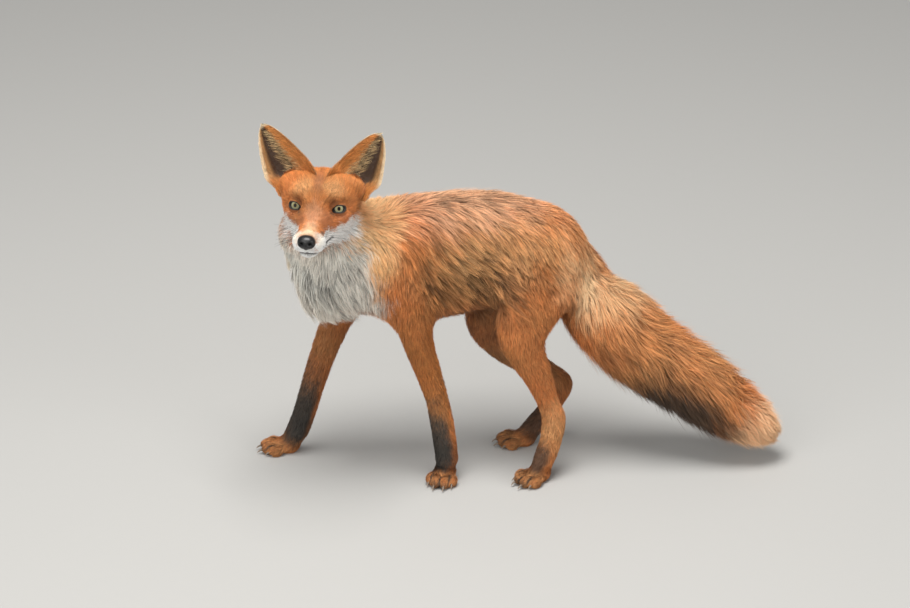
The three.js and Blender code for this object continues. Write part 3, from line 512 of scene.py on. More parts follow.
# %% Features pushed in and out
divide(fused, lambda p: (p[:, 1] < 14) & (np.abs(p[:, 0]) < 50) & (p[:, 2] > -60))
divide(fused, lambda p: (p[:, 1] < 2) & (p[:, 2] > -50))
skin = Surface(fused)
face = to_head(skin.points)
front = step(-face[:, 1], -16, -4)[:, None]
for _ in range(3):
    skin.points += 0.5 * front * (skin.spread(skin.points) - skin.points)
face = to_head(skin.points)
lips = from_mouth(face)
push = 0.8 * np.exp(-(((lips - 3.4) / 1.8) ** 2)) - 2.2 * np.exp(-((lips / 1.3) ** 2))
push += 0.8 * bump(face, BROW, 8) - 1.0 * bump(face, [15, -16, -2], 6) + 0.8 * bump(face, [13, -60, -26], 7)
push -= 0.9 * np.exp(-((face[:, 0] / 1.2) ** 2)) * step(-face[:, 1], 66, 72)
push -= 8 * bump(face, [38, 10, 34], 12)
skin.points += skin.normals() * push[:, None]
bed = np.linalg.norm((face - NOSE) / NOSE_HALF, axis=1)
skin.points += turn_from_head(np.array([0, 7.0, 0])) * (1 - step(bed, 0.86, 1.0))[:, None]
skin.write()
print(len(skin.tris), "triangles of skin")

# %% [markdown]
# ## The ears
# An ear is a thin cup of skin over cartilage, far thinner than the voxels, so it can't be fused with
# the rest. It is swept from its root to its tip as a closed leaf with a front and a back, a little
# inside its solid, with two low folds down its inside. Its half towards the crown is cupped less.

# %% Two cupped leaves
EAR = {
    "half": 33, "swell": 1.25, "taper": 0.56,  # half its width, and how that falls off to the tip
    "waist": (0.68, 1.1), "swells": 0.3,  # how narrow it is at the root, and where that ends
    "cups": ((78, 32), (46, 26)),  # degrees of cup at the root and tip, of the outer and the inner half
    "thick": 1.7, "open": [0.36, -1, 0.1], "sunk": 0.12,
}
EARS = {1: ([41, 20, 24], [67, 52, 86]), -1: ([-38, 20, 25], [-80, 52, 86])}  # the root and the tip
EAR_ACROSS, EAR_ALONG = 36, 34


def ear_points(side, u, v, lift):
    """Points of the ear at u across, -1 to 1, and v along, 0 to 1, lift mm out from its middle."""
    root, tip = (np.array(end, float) for end in EARS[side])
    length = np.linalg.norm(tip - root) * 0.985
    axis = unit(tip - root)
    faces = np.array(EAR["open"]) * [side, 1, 1]
    faces = unit(faces - axis * dot(faces, axis))
    wide = np.cross(faces, axis)
    leaf = EAR["half"] * (1 - np.maximum(v, 0) ** EAR["swell"]) ** EAR["taper"]
    cups, radii = [], []
    for waist, cup in zip(EAR["waist"], EAR["cups"]):  # the outer side, then the side of the crown
        cups.append(np.radians(mix(*cup, v)))
        radii.append(leaf * mix(waist, 1, step(v, 0, EAR["swells"])) / np.sin(cups[-1]))
    cup, radius = (np.where(u * side > 0, pair[1], pair[0]) for pair in (cups, radii))
    across = (radius + lift) * np.sin(u * cup)
    deep = radius - radii[0] * (1 - np.cos(cups[0])) - (radius + lift) * np.cos(u * cup)
    along = (v * length)[..., None] * axis
    return from_head(root + along + across[..., None] * wide + deep[..., None] * faces)


def ear(side):
    """The leaf's points and triangles, with u, v and which are inside the cup."""
    u = np.linspace(-1, 1, EAR_ACROSS)
    v = mix(-EAR["sunk"], 0.995, 1 - (1 - np.linspace(0, 1, EAR_ALONG)) ** 1.3)
    u = np.concatenate([u, u[::-1]])
    inner = np.arange(len(u)) < EAR_ACROSS
    uu, vv = np.meshgrid(u, v)
    thick = EAR["thick"] * (1 - 0.7 * uu**2) * mix(1, 0.55, vv)
    across = uu * side
    folds = 1.2 * np.exp(-(((across - 0.35) / 0.13) ** 2)) + 0.9 * np.exp(-(((across + 0.3) / 0.12) ** 2))
    lift = np.where(inner, -thick / 2 - folds * step(1 - vv, 0.25, 0.7), thick / 2)
    points = ear_points(side, uu, vv, lift).reshape(-1, 3)
    n = len(u)
    j, i = np.meshgrid(np.arange(EAR_ALONG - 1), np.arange(n), indexing="ij")
    a, b = j * n + i, j * n + (i + 1) % n
    c, d = a + n, b + n
    tris = np.concatenate([np.stack([a, d, b], -1).reshape(-1, 3), np.stack([a, c, d], -1).reshape(-1, 3)])
    end = (EAR_ALONG - 1) * n
    cap = [[end + i, end + n - 1 - i, end + i + 1] for i in range(EAR_ACROSS - 1)]
    cap += [[end + i + 1, end + n - 1 - i, end + n - 2 - i] for i in range(EAR_ACROSS - 1)]
    return {"points": points, "tris": np.concatenate([tris, cap]), "u": across.ravel(), "v": vv.ravel(),
            "inside": np.tile(inner, EAR_ALONG), "side": side}


ears = [ear(1), ear(-1)]
print([len(e["tris"]) for e in ears], "triangles in the ears")

# %% [markdown]
# ## Eyelids
# The eyeball is a ball, and what shows of it is set by the lids: an almond opening, a little higher
# at its outer corner, with a dark wet rim. A hole could be cut in the skin, but its edge would be as
# coarse as the skin's triangles. So the skin is only pressed back round the eye, and a ring of finer
# skin starts on the ball, rolls over as the rim, and runs out to meet the face.

# %% A ring of lid round each eye
LOOK = unit(np.array([0.31, -0.92, 0.26]))  # the way the left eye's opening faces
OPENING = {"outer": 6.9, "inner": 7.4, "up": 3.8, "down": 4.2, "slant": 7}
# each row of a lid: how large beside the opening, and how far from the ball's middle, or on the skin
LID_ROWS = [(0.95, 9.15), (1.0, 9.8), (1.2, 10.5), (1.46, 10.3), (1.75, None), (2.15, None)]
LID_AROUND = 56


def eye_axes(side):
    look = LOOK * [side, 1, 1]
    out = unit(np.cross(look, UP)) * -side
    up = np.cross(look, out) * side
    turn = math.radians(OPENING["slant"])
    return look, math.cos(turn) * out + math.sin(turn) * up, math.cos(turn) * up - math.sin(turn) * out


def opening(angle):
    """The almond's edge: how far out and how far up, in mm, at each angle."""
    c, s = np.cos(angle), np.sin(angle)
    x = np.where(c > 0, OPENING["outer"], OPENING["inner"]) * c
    up = OPENING["up"] * (1 - 0.10 * c) * np.maximum(s, 0) ** 0.85
    y = np.where(s > 0, up, OPENING["down"] * (1 + 0.1 * c) * s)
    return x, y - 1.1 * step(-c, 0.5, 1)


def lid(side, skin_tree):
    look, out, up = eye_axes(side)
    angle = np.arange(LID_AROUND) * 2 * math.pi / LID_AROUND
    rows, lie = [], []
    for k, radius in LID_ROWS:
        x, y = (k * value for value in opening(angle))
        if radius:
            ahead = np.sqrt(np.maximum(radius**2 - x**2 - y**2, 4))
        else:
            ahead = np.full_like(x, 6.0)
        p = EYE * [side, 1, 1] + x[:, None] * out + y[:, None] * up + ahead[:, None] * look
        world = from_head(p)
        if not radius:
            sink = 0.25 if k < 1.8 else -0.5
            hits = [skin_tree.find_nearest(Vector(q)) for q in world]
            world = np.array([np.array(h[0]) + sink * np.array(h[1]) for h in hits])
        rows.append(world)
        lie.append(turn_from_head(unit(x[:, None] * out + y[:, None] * up)))
    n = LID_AROUND
    j, i = np.meshgrid(np.arange(len(rows) - 1), np.arange(n), indexing="ij")
    a, b = (j * n + i).ravel(), (j * n + (i + 1) % n).ravel()
    tris = np.concatenate([np.stack([a, b, b + n], -1), np.stack([a, b + n, a + n], -1)])
    if side > 0:
        tris = tris[:, ::-1]
    row = np.repeat(np.arange(len(rows)), n)
    return {"points": np.concatenate(rows), "tris": tris, "lie": np.concatenate(lie), "row": row}


# %% Pressing the sockets back
SOCKET = 8, 6.3  # half its width and half its height
for side in (1, -1):  # no skin stands in front of the lids
    look, out, up = eye_axes(side)
    middle = EYE * [side, 1, 1]
    q = to_head(skin.points) - middle
    reach = np.hypot(q @ out / SOCKET[0], q @ up / SOCKET[1])
    away = np.linalg.norm(q, axis=1)
    limit = 8.0 + 1.5 * step(reach, 1.0, 1.4) + 9 * np.maximum(reach - 1.45, 0)
    deep = (q @ look > 0) & (reach < 2.9) & (away > limit)
    skin.points[deep] = from_head((middle + q * (limit / away)[:, None])[deep])
skin.write()
skin_tree = BVHTree.FromPolygons([Vector(p) for p in skin.points], skin.tris.tolist())
lids = [lid(1, skin_tree), lid(-1, skin_tree)]
print([len(piece["tris"]) for piece in lids], "triangles in the lids")

# %% [markdown]
# ## Markings and painted shade
# A red fox isn't one red: the back is rosy and grizzled, the neck golden, the flank dull, the legs
# brown with black stockings, the bib grey and the muzzle white. Noise alone would put such markings in
# the wrong places. They are painted on as soft-edged dabs, each an ellipsoid in the body's frame, a
# paw's or the head's, one over another. Some dabs only show where the skin faces one way, such as the
# dark underside of the tail and the brown under the belly, which are painted shade. The darker far
# hind leg and the dark gaps between the toes are painted shade too. Grizzled hair is dark at the root
# and pale at the tip.

# %% The palette, and the dabs on the body
RUFOUS = (0.53, 0.185, 0.052)
ORANGE = (0.62, 0.235, 0.060)
ROSE = (0.76, 0.40, 0.22)
BUFF = (0.37, 0.18, 0.066)
UNDERSIDE_SHADE_BROWN = (0.23, 0.115, 0.055)
UMBER = (0.075, 0.055, 0.038)
BLACK = (0.030, 0.030, 0.027)
CREAM = (0.80, 0.62, 0.40)
GREY = (0.95, 0.90, 0.81)
WHITE = (0.94, 0.93, 0.91)
EAR_BACK, EAR_DARK, EAR_OUTER = (0.045, 0.028, 0.02), (0.060, 0.026, 0.010), (0.40, 0.21, 0.08)
BODY_DABS = [
    # at, half, colour, strength, edge, grizzle, facing
    ([0, -55, 384], [230, 60, 46], ROSE, 0.95, 0.5, 0.55, None),
    ([10, -60, 292], [125, 75, 50], BUFF, 0.85, 0.45, 0.95, None),
    ([50, -60, 280], [60, 75, 44], (0.32, 0.145, 0.052), 0.6, 0.6, 0.95, None),
    ([40, -60, 326], [100, 75, 30], (0.72, 0.37, 0.15), 0.6, 0.6, 0.8, None),
    # painted shade: the lower flank and the underside of the belly are painted dark brown
    ([0, -60, 240], [105, 62, 18], (0.27, 0.115, 0.045), 0.75, 0.6, 0.5, None),
    ([-20, -55, 212], [110, 55, 20], UNDERSIDE_SHADE_BROWN, 0.8, 0.5, 0.3, (0, 0, -1)),
    ([-142, -66, 350], [48, 72, 48], (1.0, 0.60, 0.29), 1.0, 0.4, 0.1, None),
    ([-122, -110, 312], [26, 40, 44], (0.92, 0.54, 0.24), 0.75, 0.5, 0.4, None),
    ([-95, -58, 262], [42, 56, 52], RUFOUS, 0.9, 0.35, 0.1, None),
    ([108, -60, 262], [46, 60, 66], RUFOUS, 0.75, 0.5, 0.15, None),
    ([-205, -78, 296], [52, 66, 76], GREY, 1.0, 0.25, 0.7, None),
    ([-200, -28, 334], [44, 28, 54], (0.88, 0.68, 0.42), 0.85, 0.5, 0.3, None),
    ([-180, -66, 240], [52, 44, 30], GREY, 0.95, 0.4, 0.7, None),
    ([-142, -104, 256], [38, 32, 48], GREY, 0.95, 0.4, 0.7, None),
    ([-162, -108, 296], [38, 34, 54], GREY, 1.0, 0.3, 0.7, None),
    ([-232, -52, 320], [26, 30, 56], (0.90, 0.68, 0.42), 0.8, 0.5, 0.3, None),
    # the tail: pale at its root, ochre below, near black underneath, which is painted shade, pale at its tip
    ([122, -66, 280], [32, 60, 46], (0.92, 0.55, 0.28), 0.85, 0.6, 0.2, None),
    ([190, -76, 240], [44, 46, 34], (0.95, 0.62, 0.33), 0.9, 0.6, 0.3, None),
    ([146, -104, 254], [18, 28, 38], (0.93, 0.68, 0.40), 0.85, 0.6, 0.4, None),
    ([240, -90, 145], [130, 70, 90], (0.62, 0.26, 0.090), 0.85, 0.3, 0.3, None),
    # painted shade: where the tail faces down it is painted dark brown and near black
    ([235, -85, 110], [130, 70, 60], (0.26, 0.11, 0.038), 0.9, 0.5, 0.4, (0, -0.4, -1)),
    ([250, -95, 88], [125, 70, 62], (0.045, 0.028, 0.018), 0.95, 0.45, 0.2, (-0.2, -0.35, -1)),
    ([366, -122, 60], [44, 50, 46], (0.95, 0.62, 0.36), 0.95, 0.6, 0.2, None),
    # the legs: duller below the elbow, black stockings in front, rusty toes
    ([-64, -88, 170], [44, 36, 84], (0.36, 0.13, 0.030), 0.85, 0.6, 0.2, None),
    ([70, -104, 190], [50, 30, 80], (0.45, 0.165, 0.050), 0.7, 0.6, 0.15, None),
    ([-166, 8, 170], [50, 34, 70], (0.36, 0.14, 0.045), 0.8, 0.6, 0.1, None),
    ([-44, -92, 58], [34, 30, 60], UMBER, 0.9, 0.6, 0.3, (-1, -0.6, 0)),
    ([-46, -92, 46], [34, 28, 44], BLACK, 0.85, 0.5, 0.3, (-1, -0.6, 0)),
    ([-38, -92, 36], [34, 30, 26], BLACK, 0.6, 0.6, 0.25, None),
    ([-186, 12, 74], [44, 32, 66], UMBER, 0.9, 0.6, 0.3, (-1, -0.7, 0)),
    ([-190, 12, 58], [44, 30, 46], BLACK, 0.85, 0.5, 0.3, (-1, -0.7, 0)),
    ([-200, 16, 38], [40, 32, 28], BLACK, 0.6, 0.6, 0.25, None),
    ([108, -112, 78], [26, 28, 50], (0.60, 0.29, 0.115), 0.7, 0.6, 0.2, None),
    ([84, -124, 32], [22, 26, 25], BLACK, 0.8, 0.6, 0.2, (-0.95, -0.3, 0.3)),
    ([104, -14, 34], [36, 26, 32], BLACK, 0.85, 0.5, 0.2, None),
    # painted shade: the far hind leg, thigh and hock, is painted darker than the near one
    ([62, -14, 175], [60, 34, 80], (0.26, 0.12, 0.05), 0.8, 0.5, 0.2, None),
    ([118, -8, 96], [40, 30, 40], (0.42, 0.19, 0.075), 0.7, 0.5, 0.2, None),
]
print(len(BODY_DABS), "dabs on the body")

# %% The dabs on the paws and the head
PAW_DABS = [
    # in each paw's own frame: rusty toes, with painted shade in the dark gaps between them
    ([10, 0, 6], [20, 24, 13], (0.52, 0.24, 0.09), 0.85, 0.4, 0.35, None),
    ([26, 0, 8], [7, 26, 10], (0.10, 0.055, 0.03), 0.7, 0.6, 0.2, None),
    # painted shade: black slits in the gaps between the toes
    ([17, 0, 10], [8, 2.2, 12], BLACK, 0.9, 0.4, 0, None),
    ([12, 11, 10], [9, 2, 12], BLACK, 0.85, 0.4, 0, None),
    ([12, -11, 10], [9, 2, 12], BLACK, 0.85, 0.4, 0, None),
]
HEAD_DABS = [
    ([0, 40, 30], [60, 60, 60], ORANGE, 0.6, 0.5, 0.2, None),
    ([20, -2, 22], [15, 15, 13], (0.76, 0.38, 0.15), 0.6, 0.7, 0.55, None),
    ([0, 2, 27], [6.5, 32, 15], (0.38, 0.135, 0.05), 0.8, 0.6, 0.1, None),
    ([19, -8, 10], [8, 7, 5], (0.40, 0.135, 0.045), 0.7, 0.6, 0, None),
    ([34, -4, -12], [19, 20, 12], (0.43, 0.16, 0.062), 0.7, 0.5, 0.1, None),
    ([0, -36, 0], [12, 34, 12], (0.60, 0.29, 0.145), 0.85, 0.5, 0.05, None),
    ([15, -32, -9], [6.5, 24, 9], (0.38, 0.135, 0.05), 0.8, 0.5, 0, None),
    ([0, -60, -8], [10, 20, 8], (0.62, 0.38, 0.22), 0.75, 0.7, 0, None),
    ([0, -70, -11], [12, 6, 5], (0.70, 0.57, 0.40), 0.75, 0.8, 0, None),
    ([58, 34, -6], [15, 24, 20], (0.93, 0.57, 0.27), 0.8, 0.5, 0.3, None),
    ([14, -62, -27], [14, 20, 10], WHITE, 1.0, 0.18, 0, None),
    ([19, -40, -28], [12, 24, 12.5], WHITE, 1.0, 0.18, 0, None),
    ([30, -14, -31], [18, 28, 15.5], WHITE, 1.0, 0.2, 0.05, None),
    ([44, 12, -26], [22, 26, 17], WHITE, 0.95, 0.3, 0.2, None),
    ([12, -68, -20], [7, 10, 8], (0.84, 0.78, 0.68), 0.75, 0.6, 0, None),
    ([0, -74, -33], [12, 10, 8], WHITE, 1.0, 0.25, 0, None),
    ([0, -60, -43], [15, 18, 10], WHITE, 1.0, 0.25, 0, None),
    ([0, -45, -48], [20, 36, 12], WHITE, 1.0, 0.2, 0, None),
    ([24, -30, -47], [22, 34, 14], WHITE, 1.0, 0.3, 0, None),
    ([0, 20, -62], [46, 52, 24], GREY, 1.0, 0.25, 0.4, None),
    ([13.5, -55, -17], [3.4, 8, 3.6], (0.13, 0.075, 0.05), 0.85, 0.6, 0, None),
    ([17.5, -12.5, -4.5], [3.2, 5.5, 3], (0.07, 0.04, 0.028), 0.85, 0.6, 0, None),
]


# %% [markdown]
# No marking on an animal has a clean edge. Two sizes of noise move each dab's edge in and out, and
# every hair has a chance of its own to take the colour from across the edge.

# %% Laying the dabs
def dab(colour, grizzle, p, normals, jitter, rows, both=False, seed=0):
    """Lays each row's dab over the colours, in place. The jitter of each hair speckles the edges."""
    for i, (at, half, paint, strength, edge, grey, facing) in enumerate(rows):
        q = p
        if both and at[0]:
            q = np.abs(p[:, :1]) * [1, 0, 0] + p * [0, 1, 1]
        k = np.linalg.norm((q - at) / half, axis=1)
        near = k < 1.6
        if not near.any():
            continue
        size = max(min(half) * 0.5, 2.5)
        k = k[near] + 0.1 * jitter[near]
        k += 0.11 * soft_noise(p[near], size, seed + i) + 0.05 * soft_noise(p[near], size / 3, seed + i + 50)
        weight = strength * (1 - step(k, 1 - edge, 1 + edge * 0.6))
        if facing is not None:
            weight = weight * step(dot(normals[near], unit(np.array(facing, float))), -0.15, 0.55)
        colour[near] = mix(colour[near], np.array(paint), weight[:, None])
        grizzle[near] = mix(grizzle[near], grey, weight)


def markings_and_shade(p, normals, jitter=None):
    """The coat's colour and grizzle at points of the body, with the painted shade among its dabs."""
    jitter = np.zeros(len(p)) if jitter is None else jitter
    colour = np.tile(RUFOUS, (len(p), 1)).astype(float)
    grizzle = np.full(len(p), 0.15)
    dab(colour, grizzle, p - SHIFT, normals, jitter, BODY_DABS)
    for (x, y), heading in PAWS.values():
        c, s = math.cos(math.radians(heading)), math.sin(math.radians(heading))
        own = (p - SHIFT - [x, y, 0]) @ np.array([[c, -s, 0], [s, c, 0], [0, 0, 1]])
        dab(colour, grizzle, own, normals, jitter, PAW_DABS, seed=200)
    head = to_head(p)
    inside = step(1.25 - np.linalg.norm((head - [0, 8, -4]) / [78, 98, 66], axis=1), 0, 0.2)
    before = colour.copy(), grizzle.copy()
    dab(colour, grizzle, head, normals, jitter, HEAD_DABS, both=True, seed=300)
    colour = mix(before[0], colour, inside[:, None])
    lips = from_mouth(head)
    colour = mix(colour, np.array(BLACK), (1 - step(lips, 1.1, 2.3))[:, None])
    return colour, mix(before[1], grizzle, inside)


def ear_markings(u, v, inside):
    """Black-brown behind, orange on the side nearer the crown, dark in the cup and cream on the rim."""
    back = mix(np.array(RUFOUS), np.array(EAR_BACK), step(v, 0.16, 0.42)[:, None])
    edge = mix(0.10, 0.34, v)
    within = mix(np.array(EAR_DARK), np.array(ORANGE) * 1.08, step(u, edge - 0.16, edge + 0.18)[:, None])
    within = mix(within, np.array(EAR_OUTER), step(-u, 0.56, 0.76)[:, None])
    within = mix(within, np.array(CREAM), step(-u, 0.80, 0.94)[:, None])
    within = mix(within, np.array(ORANGE) * 0.8, (1 - step(v, 0.06, 0.22))[:, None])
    colour = np.where(inside[:, None], within, back)
    rim = step(np.abs(u), 0.93, 0.99) * np.where(u > 0, 0.35 + 0.65 * step(v, 0.5, 0.85), 1)
    rim = np.maximum(rim, inside * step(v, 0.92, 0.97))
    return mix(colour, np.array(CREAM) * 1.05, rim[:, None])


skin_colour, _ = markings_and_shade(skin.points, skin.normals())
print("mean colour of the skin", skin_colour.mean(0).round(3))

# %% [markdown]
# ## Roots
# Hair is planted by area: each triangle gets as many roots as the coat's layers need there, since a
# blade covers about half its length times its width. Stepping evenly through the summed areas, with a
# little chance added, spreads the roots far more evenly than throwing them at random.

# %% Planting
THIN_OUT = 1.0


def plant(points, tris, values, per_area):
    """Roots on a surface, with their place and every value of its points blended to each root."""
    a, b, c = (points[tris[:, i]] for i in range(3))
    area = np.linalg.norm(np.cross(b - a, c - a), axis=1) / 2
    total = np.cumsum(area * per_area[tris].mean(1) / THIN_OUT)
    count = int(total[-1])
    where = np.searchsorted(total, (np.arange(count) + rng.random(count)) * total[-1] / count)
    where = np.minimum(where, len(tris) - 1)
    r, s = np.sqrt(rng.random(count)), rng.random(count)
    share = np.stack([1 - r, r * (1 - s), r * s], 1)
    picked = tris[where]
    blend = {key: np.einsum("ij,ij...->i...", share, value[picked]) for key, value in values.items()}
    return np.einsum("ij,ijk->ik", share, points[picked]), blend


# %% [markdown]
# Where hair changes within a few millimetres, the stations are too coarse. Round the eyes it is short
# and lies away from the lids, at the lips it stops, and in front of the ears it climbs on to their
# roots. The flanks and the breast are wet, so their locks are tighter and further apart.

# %% Hair of the skin
WET = [
    # at, half, how strongly the tips gather, and how far apart the locks are
    ([0, -115, 285], [100, 70, 62], 0.84, 1.1),
    ([0, 5, 285], [100, 70, 62], 0.84, 1.1),
    ([-208, -85, 285], [50, 70, 70], 0.86, 1.5),
    ([-150, -104, 270], [44, 30, 54], 0.8, 1.4),
]


BARE_EYE = 10.5, 8.2  # half the width and height of the bare skin round an eye
BARE_LIP = 1.3  # mm from the line of the mouth
BARE_SOLE = 1.5  # mm above the floor


def layers_per_area(nature):
    """Roots to the square millimetre."""
    return nature["layers"] / (nature["length"] * nature["width"] / 2)


def skin_roots():
    normals = skin.normals()
    nature = read_stations(skin.points)
    nature.pop("line")
    place, root = plant(skin.points, skin.tris, {**nature, "normal": normals}, layers_per_area(nature))
    root["place"] = place
    head = to_head(place)
    lips = from_mouth(head)
    keep = (place[:, 2] > BARE_SOLE) & (lips > BARE_LIP)
    root["length"] *= mix(0.5, 1, step(lips, 2, 6))
    keep &= np.linalg.norm((head - NOSE - [0, 2, 0]) / NOSE_HALF, axis=1) > 1.03
    for side in (1, -1):
        look, out, up = eye_axes(side)
        q = head - EYE * [side, 1, 1]
        x, y = q @ out, q @ up
        reach = np.sqrt((x / BARE_EYE[0]) ** 2 + (y / BARE_EYE[1]) ** 2)
        keep &= (reach > 1) | (q @ look < 0)
        away = turn_from_head(unit(x[:, None] * out + y[:, None] * up))
        near = np.exp(-((np.maximum(reach - 1, 0) / 0.55) ** 2)) * (q @ look > -4)
        root["lie"] = mix(root["lie"], away, (near * 0.75)[:, None])
        root["length"] *= 1 - 0.35 * near
    for side, (base, end) in EARS.items():
        axis = unit(np.array(end, float) - base)
        own = head - base
        along = own @ axis
        off = np.linalg.norm(own - along[:, None] * axis, axis=1)
        near = (1 - step(off, 26, 40)) * (1 - step(np.abs(along - 2), 14, 26))
        root["lie"] = mix(root["lie"], turn_from_head(axis), (0.85 * near)[:, None])
        near *= mix(0.35, 1, step(-own[:, 0] * side, -4, 8))
        root["length"] *= 1 + 0.9 * near
        root["depth"] = root["depth"] + 2.5 * near
    root["gather"] = np.ones(len(place))
    for at, half, pull, gather in WET:
        weight = 1 - step(np.linalg.norm((place - SHIFT - at) / half, axis=1), 0.6, 1.15)
        root["locks"] = mix(root["locks"], pull, weight)
        root["gather"] = mix(root["gather"], gather, weight)
    root["colour"], root["grizzle"] = markings_and_shade(place, root["normal"], rng.standard_normal(len(place)))
    root["side"] = np.zeros(len(place), int)
    return {key: value[keep] for key, value in root.items()}


# %% Hair of the lids
LID_HAIRS = 2.4  # to the square millimetre
LID_BARE = 2.0  # the row of the lid up to which it is bare


def lid_roots(piece):
    points, tris = piece["points"], piece["tris"]
    values = {"lie": piece["lie"], "normal": point_normals(points, tris), "row": piece["row"].astype(float)}
    place, root = plant(points, tris, values, np.full(len(points), LID_HAIRS))
    keep = root.pop("row") > LID_BARE
    root = {key: value[keep] for key, value in root.items()}
    root["place"] = place[keep]
    m = int(keep.sum())
    fixed = {"depth": 0.7, "length": 3.4, "width": 0.42, "locks": 0.15, "layers": 3, "droop": 0}
    root.update({key: np.full(m, float(value)) for key, value in fixed.items()})
    root["colour"], root["grizzle"] = markings_and_shade(root["place"], root["normal"])
    root["side"] = np.zeros(m, int)
    return root


# %% [markdown]
# The ears have five kinds of hair: short dark hair behind, a short pale fringe along the rim, a
# broad orange edge on the side of the crown, sparse short hair in the cup, and long golden hairs that
# fan from the orange edge across the dark. A root's kind follows from its place on the leaf.

# %% Hair of the ears
EAR_HAIRS = 1.5  # to the square millimetre
RIM = 0.92  # how far across its hair begins
GOLDEN = (0.72, 0.48, 0.23)


def ear_roots(piece):
    side, points, tris = piece["side"], piece["points"], piece["tris"]
    values = {"normal": point_normals(points, tris), "inside": piece["inside"].astype(float),
              "u": piece["u"], "v": piece["v"]}
    place, root = plant(points, tris, values, np.full(len(points), EAR_HAIRS))
    u, v, inside = root["u"], root["v"], root.pop("inside") > 0.5
    n = len(place)
    at = [ear_points(side, (u + du) * side, np.minimum(v, 0.96) + dv, np.zeros(n))
          for du, dv in ((0, 0), (0, 0.03), (-0.02, 0), (0.02, 0))]
    ahead, outward = unit(at[1] - at[0]), unit(at[2] - at[3])
    chance = rng.random(n)
    rim = np.abs(u) > RIM
    long = inside & (u > -0.1) & (u < 0.5) & (chance < 0.34) & (v < 0.9) & (v > 0.06)
    edge = inside & (u >= 0.2) & ~rim & ~long
    cup = inside & (u > -0.5) & ~edge & ~long
    base = (1 - step(v, 0.1, 0.34)) * step(np.abs(u), 0.45, 0.7)
    splay = np.select([rim, long, edge, inside], [-0.25 * np.sign(u), 1.25, 0.45, 0.15], 0.0)
    splay = mix(splay, np.where(u > 0, -0.3, 0.2), base)
    lie = unit(ahead + outward * splay[:, None])
    colour = ear_markings(u, v, inside)
    golden = np.array(GOLDEN) * rng.uniform(0.25, 1.1, (n, 1))
    colour = np.where(long[:, None], golden, colour)
    short = 1 - 0.45 * np.clip(v, 0, 1)
    tufts = np.array(ORANGE) * np.where(u > 0, 1.0, 0.85)[:, None]
    colour = mix(colour, tufts, (base * (1 - step(v, 0.04, 0.3)) * ~long)[:, None])
    lengths = [2.8, rng.uniform(9, 19, n) * short, 8.5 * short, 3.2]
    root.update({
        "place": place, "lie": lie, "colour": colour,
        "length": np.select([rim, long, edge, cup], lengths, 6.5 * short) + 1.5 * base,
        "depth": np.select([rim, long, edge], [0.6, 3.2, 2.0], 1.0) + 0.5 * base,
        "width": np.where(long, 0.32, 0.45), "locks": np.select([long, edge], [0.5, 0.3], 0.15),
        "layers": np.ones(n), "droop": np.zeros(n), "grizzle": np.where(long, 0.1, 0.2),
        "side": np.full(n, side),
    })
    sunk = np.array([dot(q - np.array(hit[0]), np.array(hit[1])) < -0.5
                     for q, hit in zip(place, (skin_tree.find_nearest(Vector(q)) for q in place))])
    keep = ~sunk & ~(cup & (v < 0.8) & (chance > 0.45))
    return {key: value[keep] for key, value in root.items()}


# %% All roots together
patches = [skin_roots(), *[lid_roots(piece) for piece in lids], *[ear_roots(piece) for piece in ears]]
for patch in patches:
    m = len(patch["place"])
    patch.setdefault("gather", np.ones(m))
    patch.setdefault("u", np.zeros(m))
    patch.setdefault("v", np.zeros(m))
roots = {key: np.concatenate([patch[key] for patch in patches]) for key in patches[0]}
COUNT = len(roots["place"])
print(COUNT, "roots,", [len(patch["place"]) for patch in patches])

# %% [markdown]
# ## Growing the coat
# Each hair leaves its root along the lie, bends over, and ends at the coat's depth above the skin
# below its tip, so that long hair follows a round body instead of standing off it. A tree of nodes
# could scatter copies of one blade over the skin, but here each blade has its own bend and keeps to
# the skin under its tip as well as its root, which is easier to say in arrays.

# %% From root to tip
MIDDLE_ALONG, MIDDLE_HIGH = 0.5, 0.72  # where a blade bends, in shares of its reach and height
UNDER_SKIN = 0.4  # mm that a root sits below the skin
BIB = [-205, -78, 280], [56, 74, 84]  # where the coat is wispy

normal = unit(roots["normal"])
lie = roots["lie"] - UP * roots["droop"][:, None]
lie = lie - normal * dot(lie, normal)[:, None]
lie = unit(lie)
sideways = np.cross(lie, normal)
sway = 0.13 * soft_noise(roots["place"], 34, 5) + 0.10 * soft_noise(roots["place"], 9, 6)
sway = sway * np.clip(roots["length"] / 14, 0.35, 1) + rng.normal(0, 0.07, COUNT)
lie = unit(lie * np.cos(sway)[:, None] + sideways * np.sin(sway)[:, None])
length = roots["length"] * rng.uniform(0.78, 1.12, COUNT)
wispy = 1 - step(np.linalg.norm((roots["place"] - SHIFT - BIB[0]) / BIB[1], axis=1), 0.7, 1.1)
stray = rng.random(COUNT) < 0.05 + 0.07 * wispy
length *= 1 + wispy * np.where(stray, 0.3, rng.uniform(-0.15, 0.3, COUNT))
height = roots["depth"] * np.where(stray, rng.uniform(0.95, 1.15, COUNT), rng.uniform(0.5, 1.0, COUNT))
forward = np.sqrt(np.maximum(length**2 - height**2, (0.5 * length) ** 2))
start = roots["place"] - normal * UNDER_SKIN
middle = roots["place"] + lie * (MIDDLE_ALONG * forward)[:, None]
tip = roots["place"] + lie * forward[:, None]


def hug(points, above):
    """The points moved to a height above the skin nearest to them."""
    out = np.empty_like(points)
    for i, (q, h) in enumerate(zip(points.tolist(), above.tolist())):
        at, n, _, _ = skin_tree.find_nearest(q)
        out[i] = (at[0] + n[0] * h, at[1] + n[1] * h, at[2] + n[2] * h)
    return out


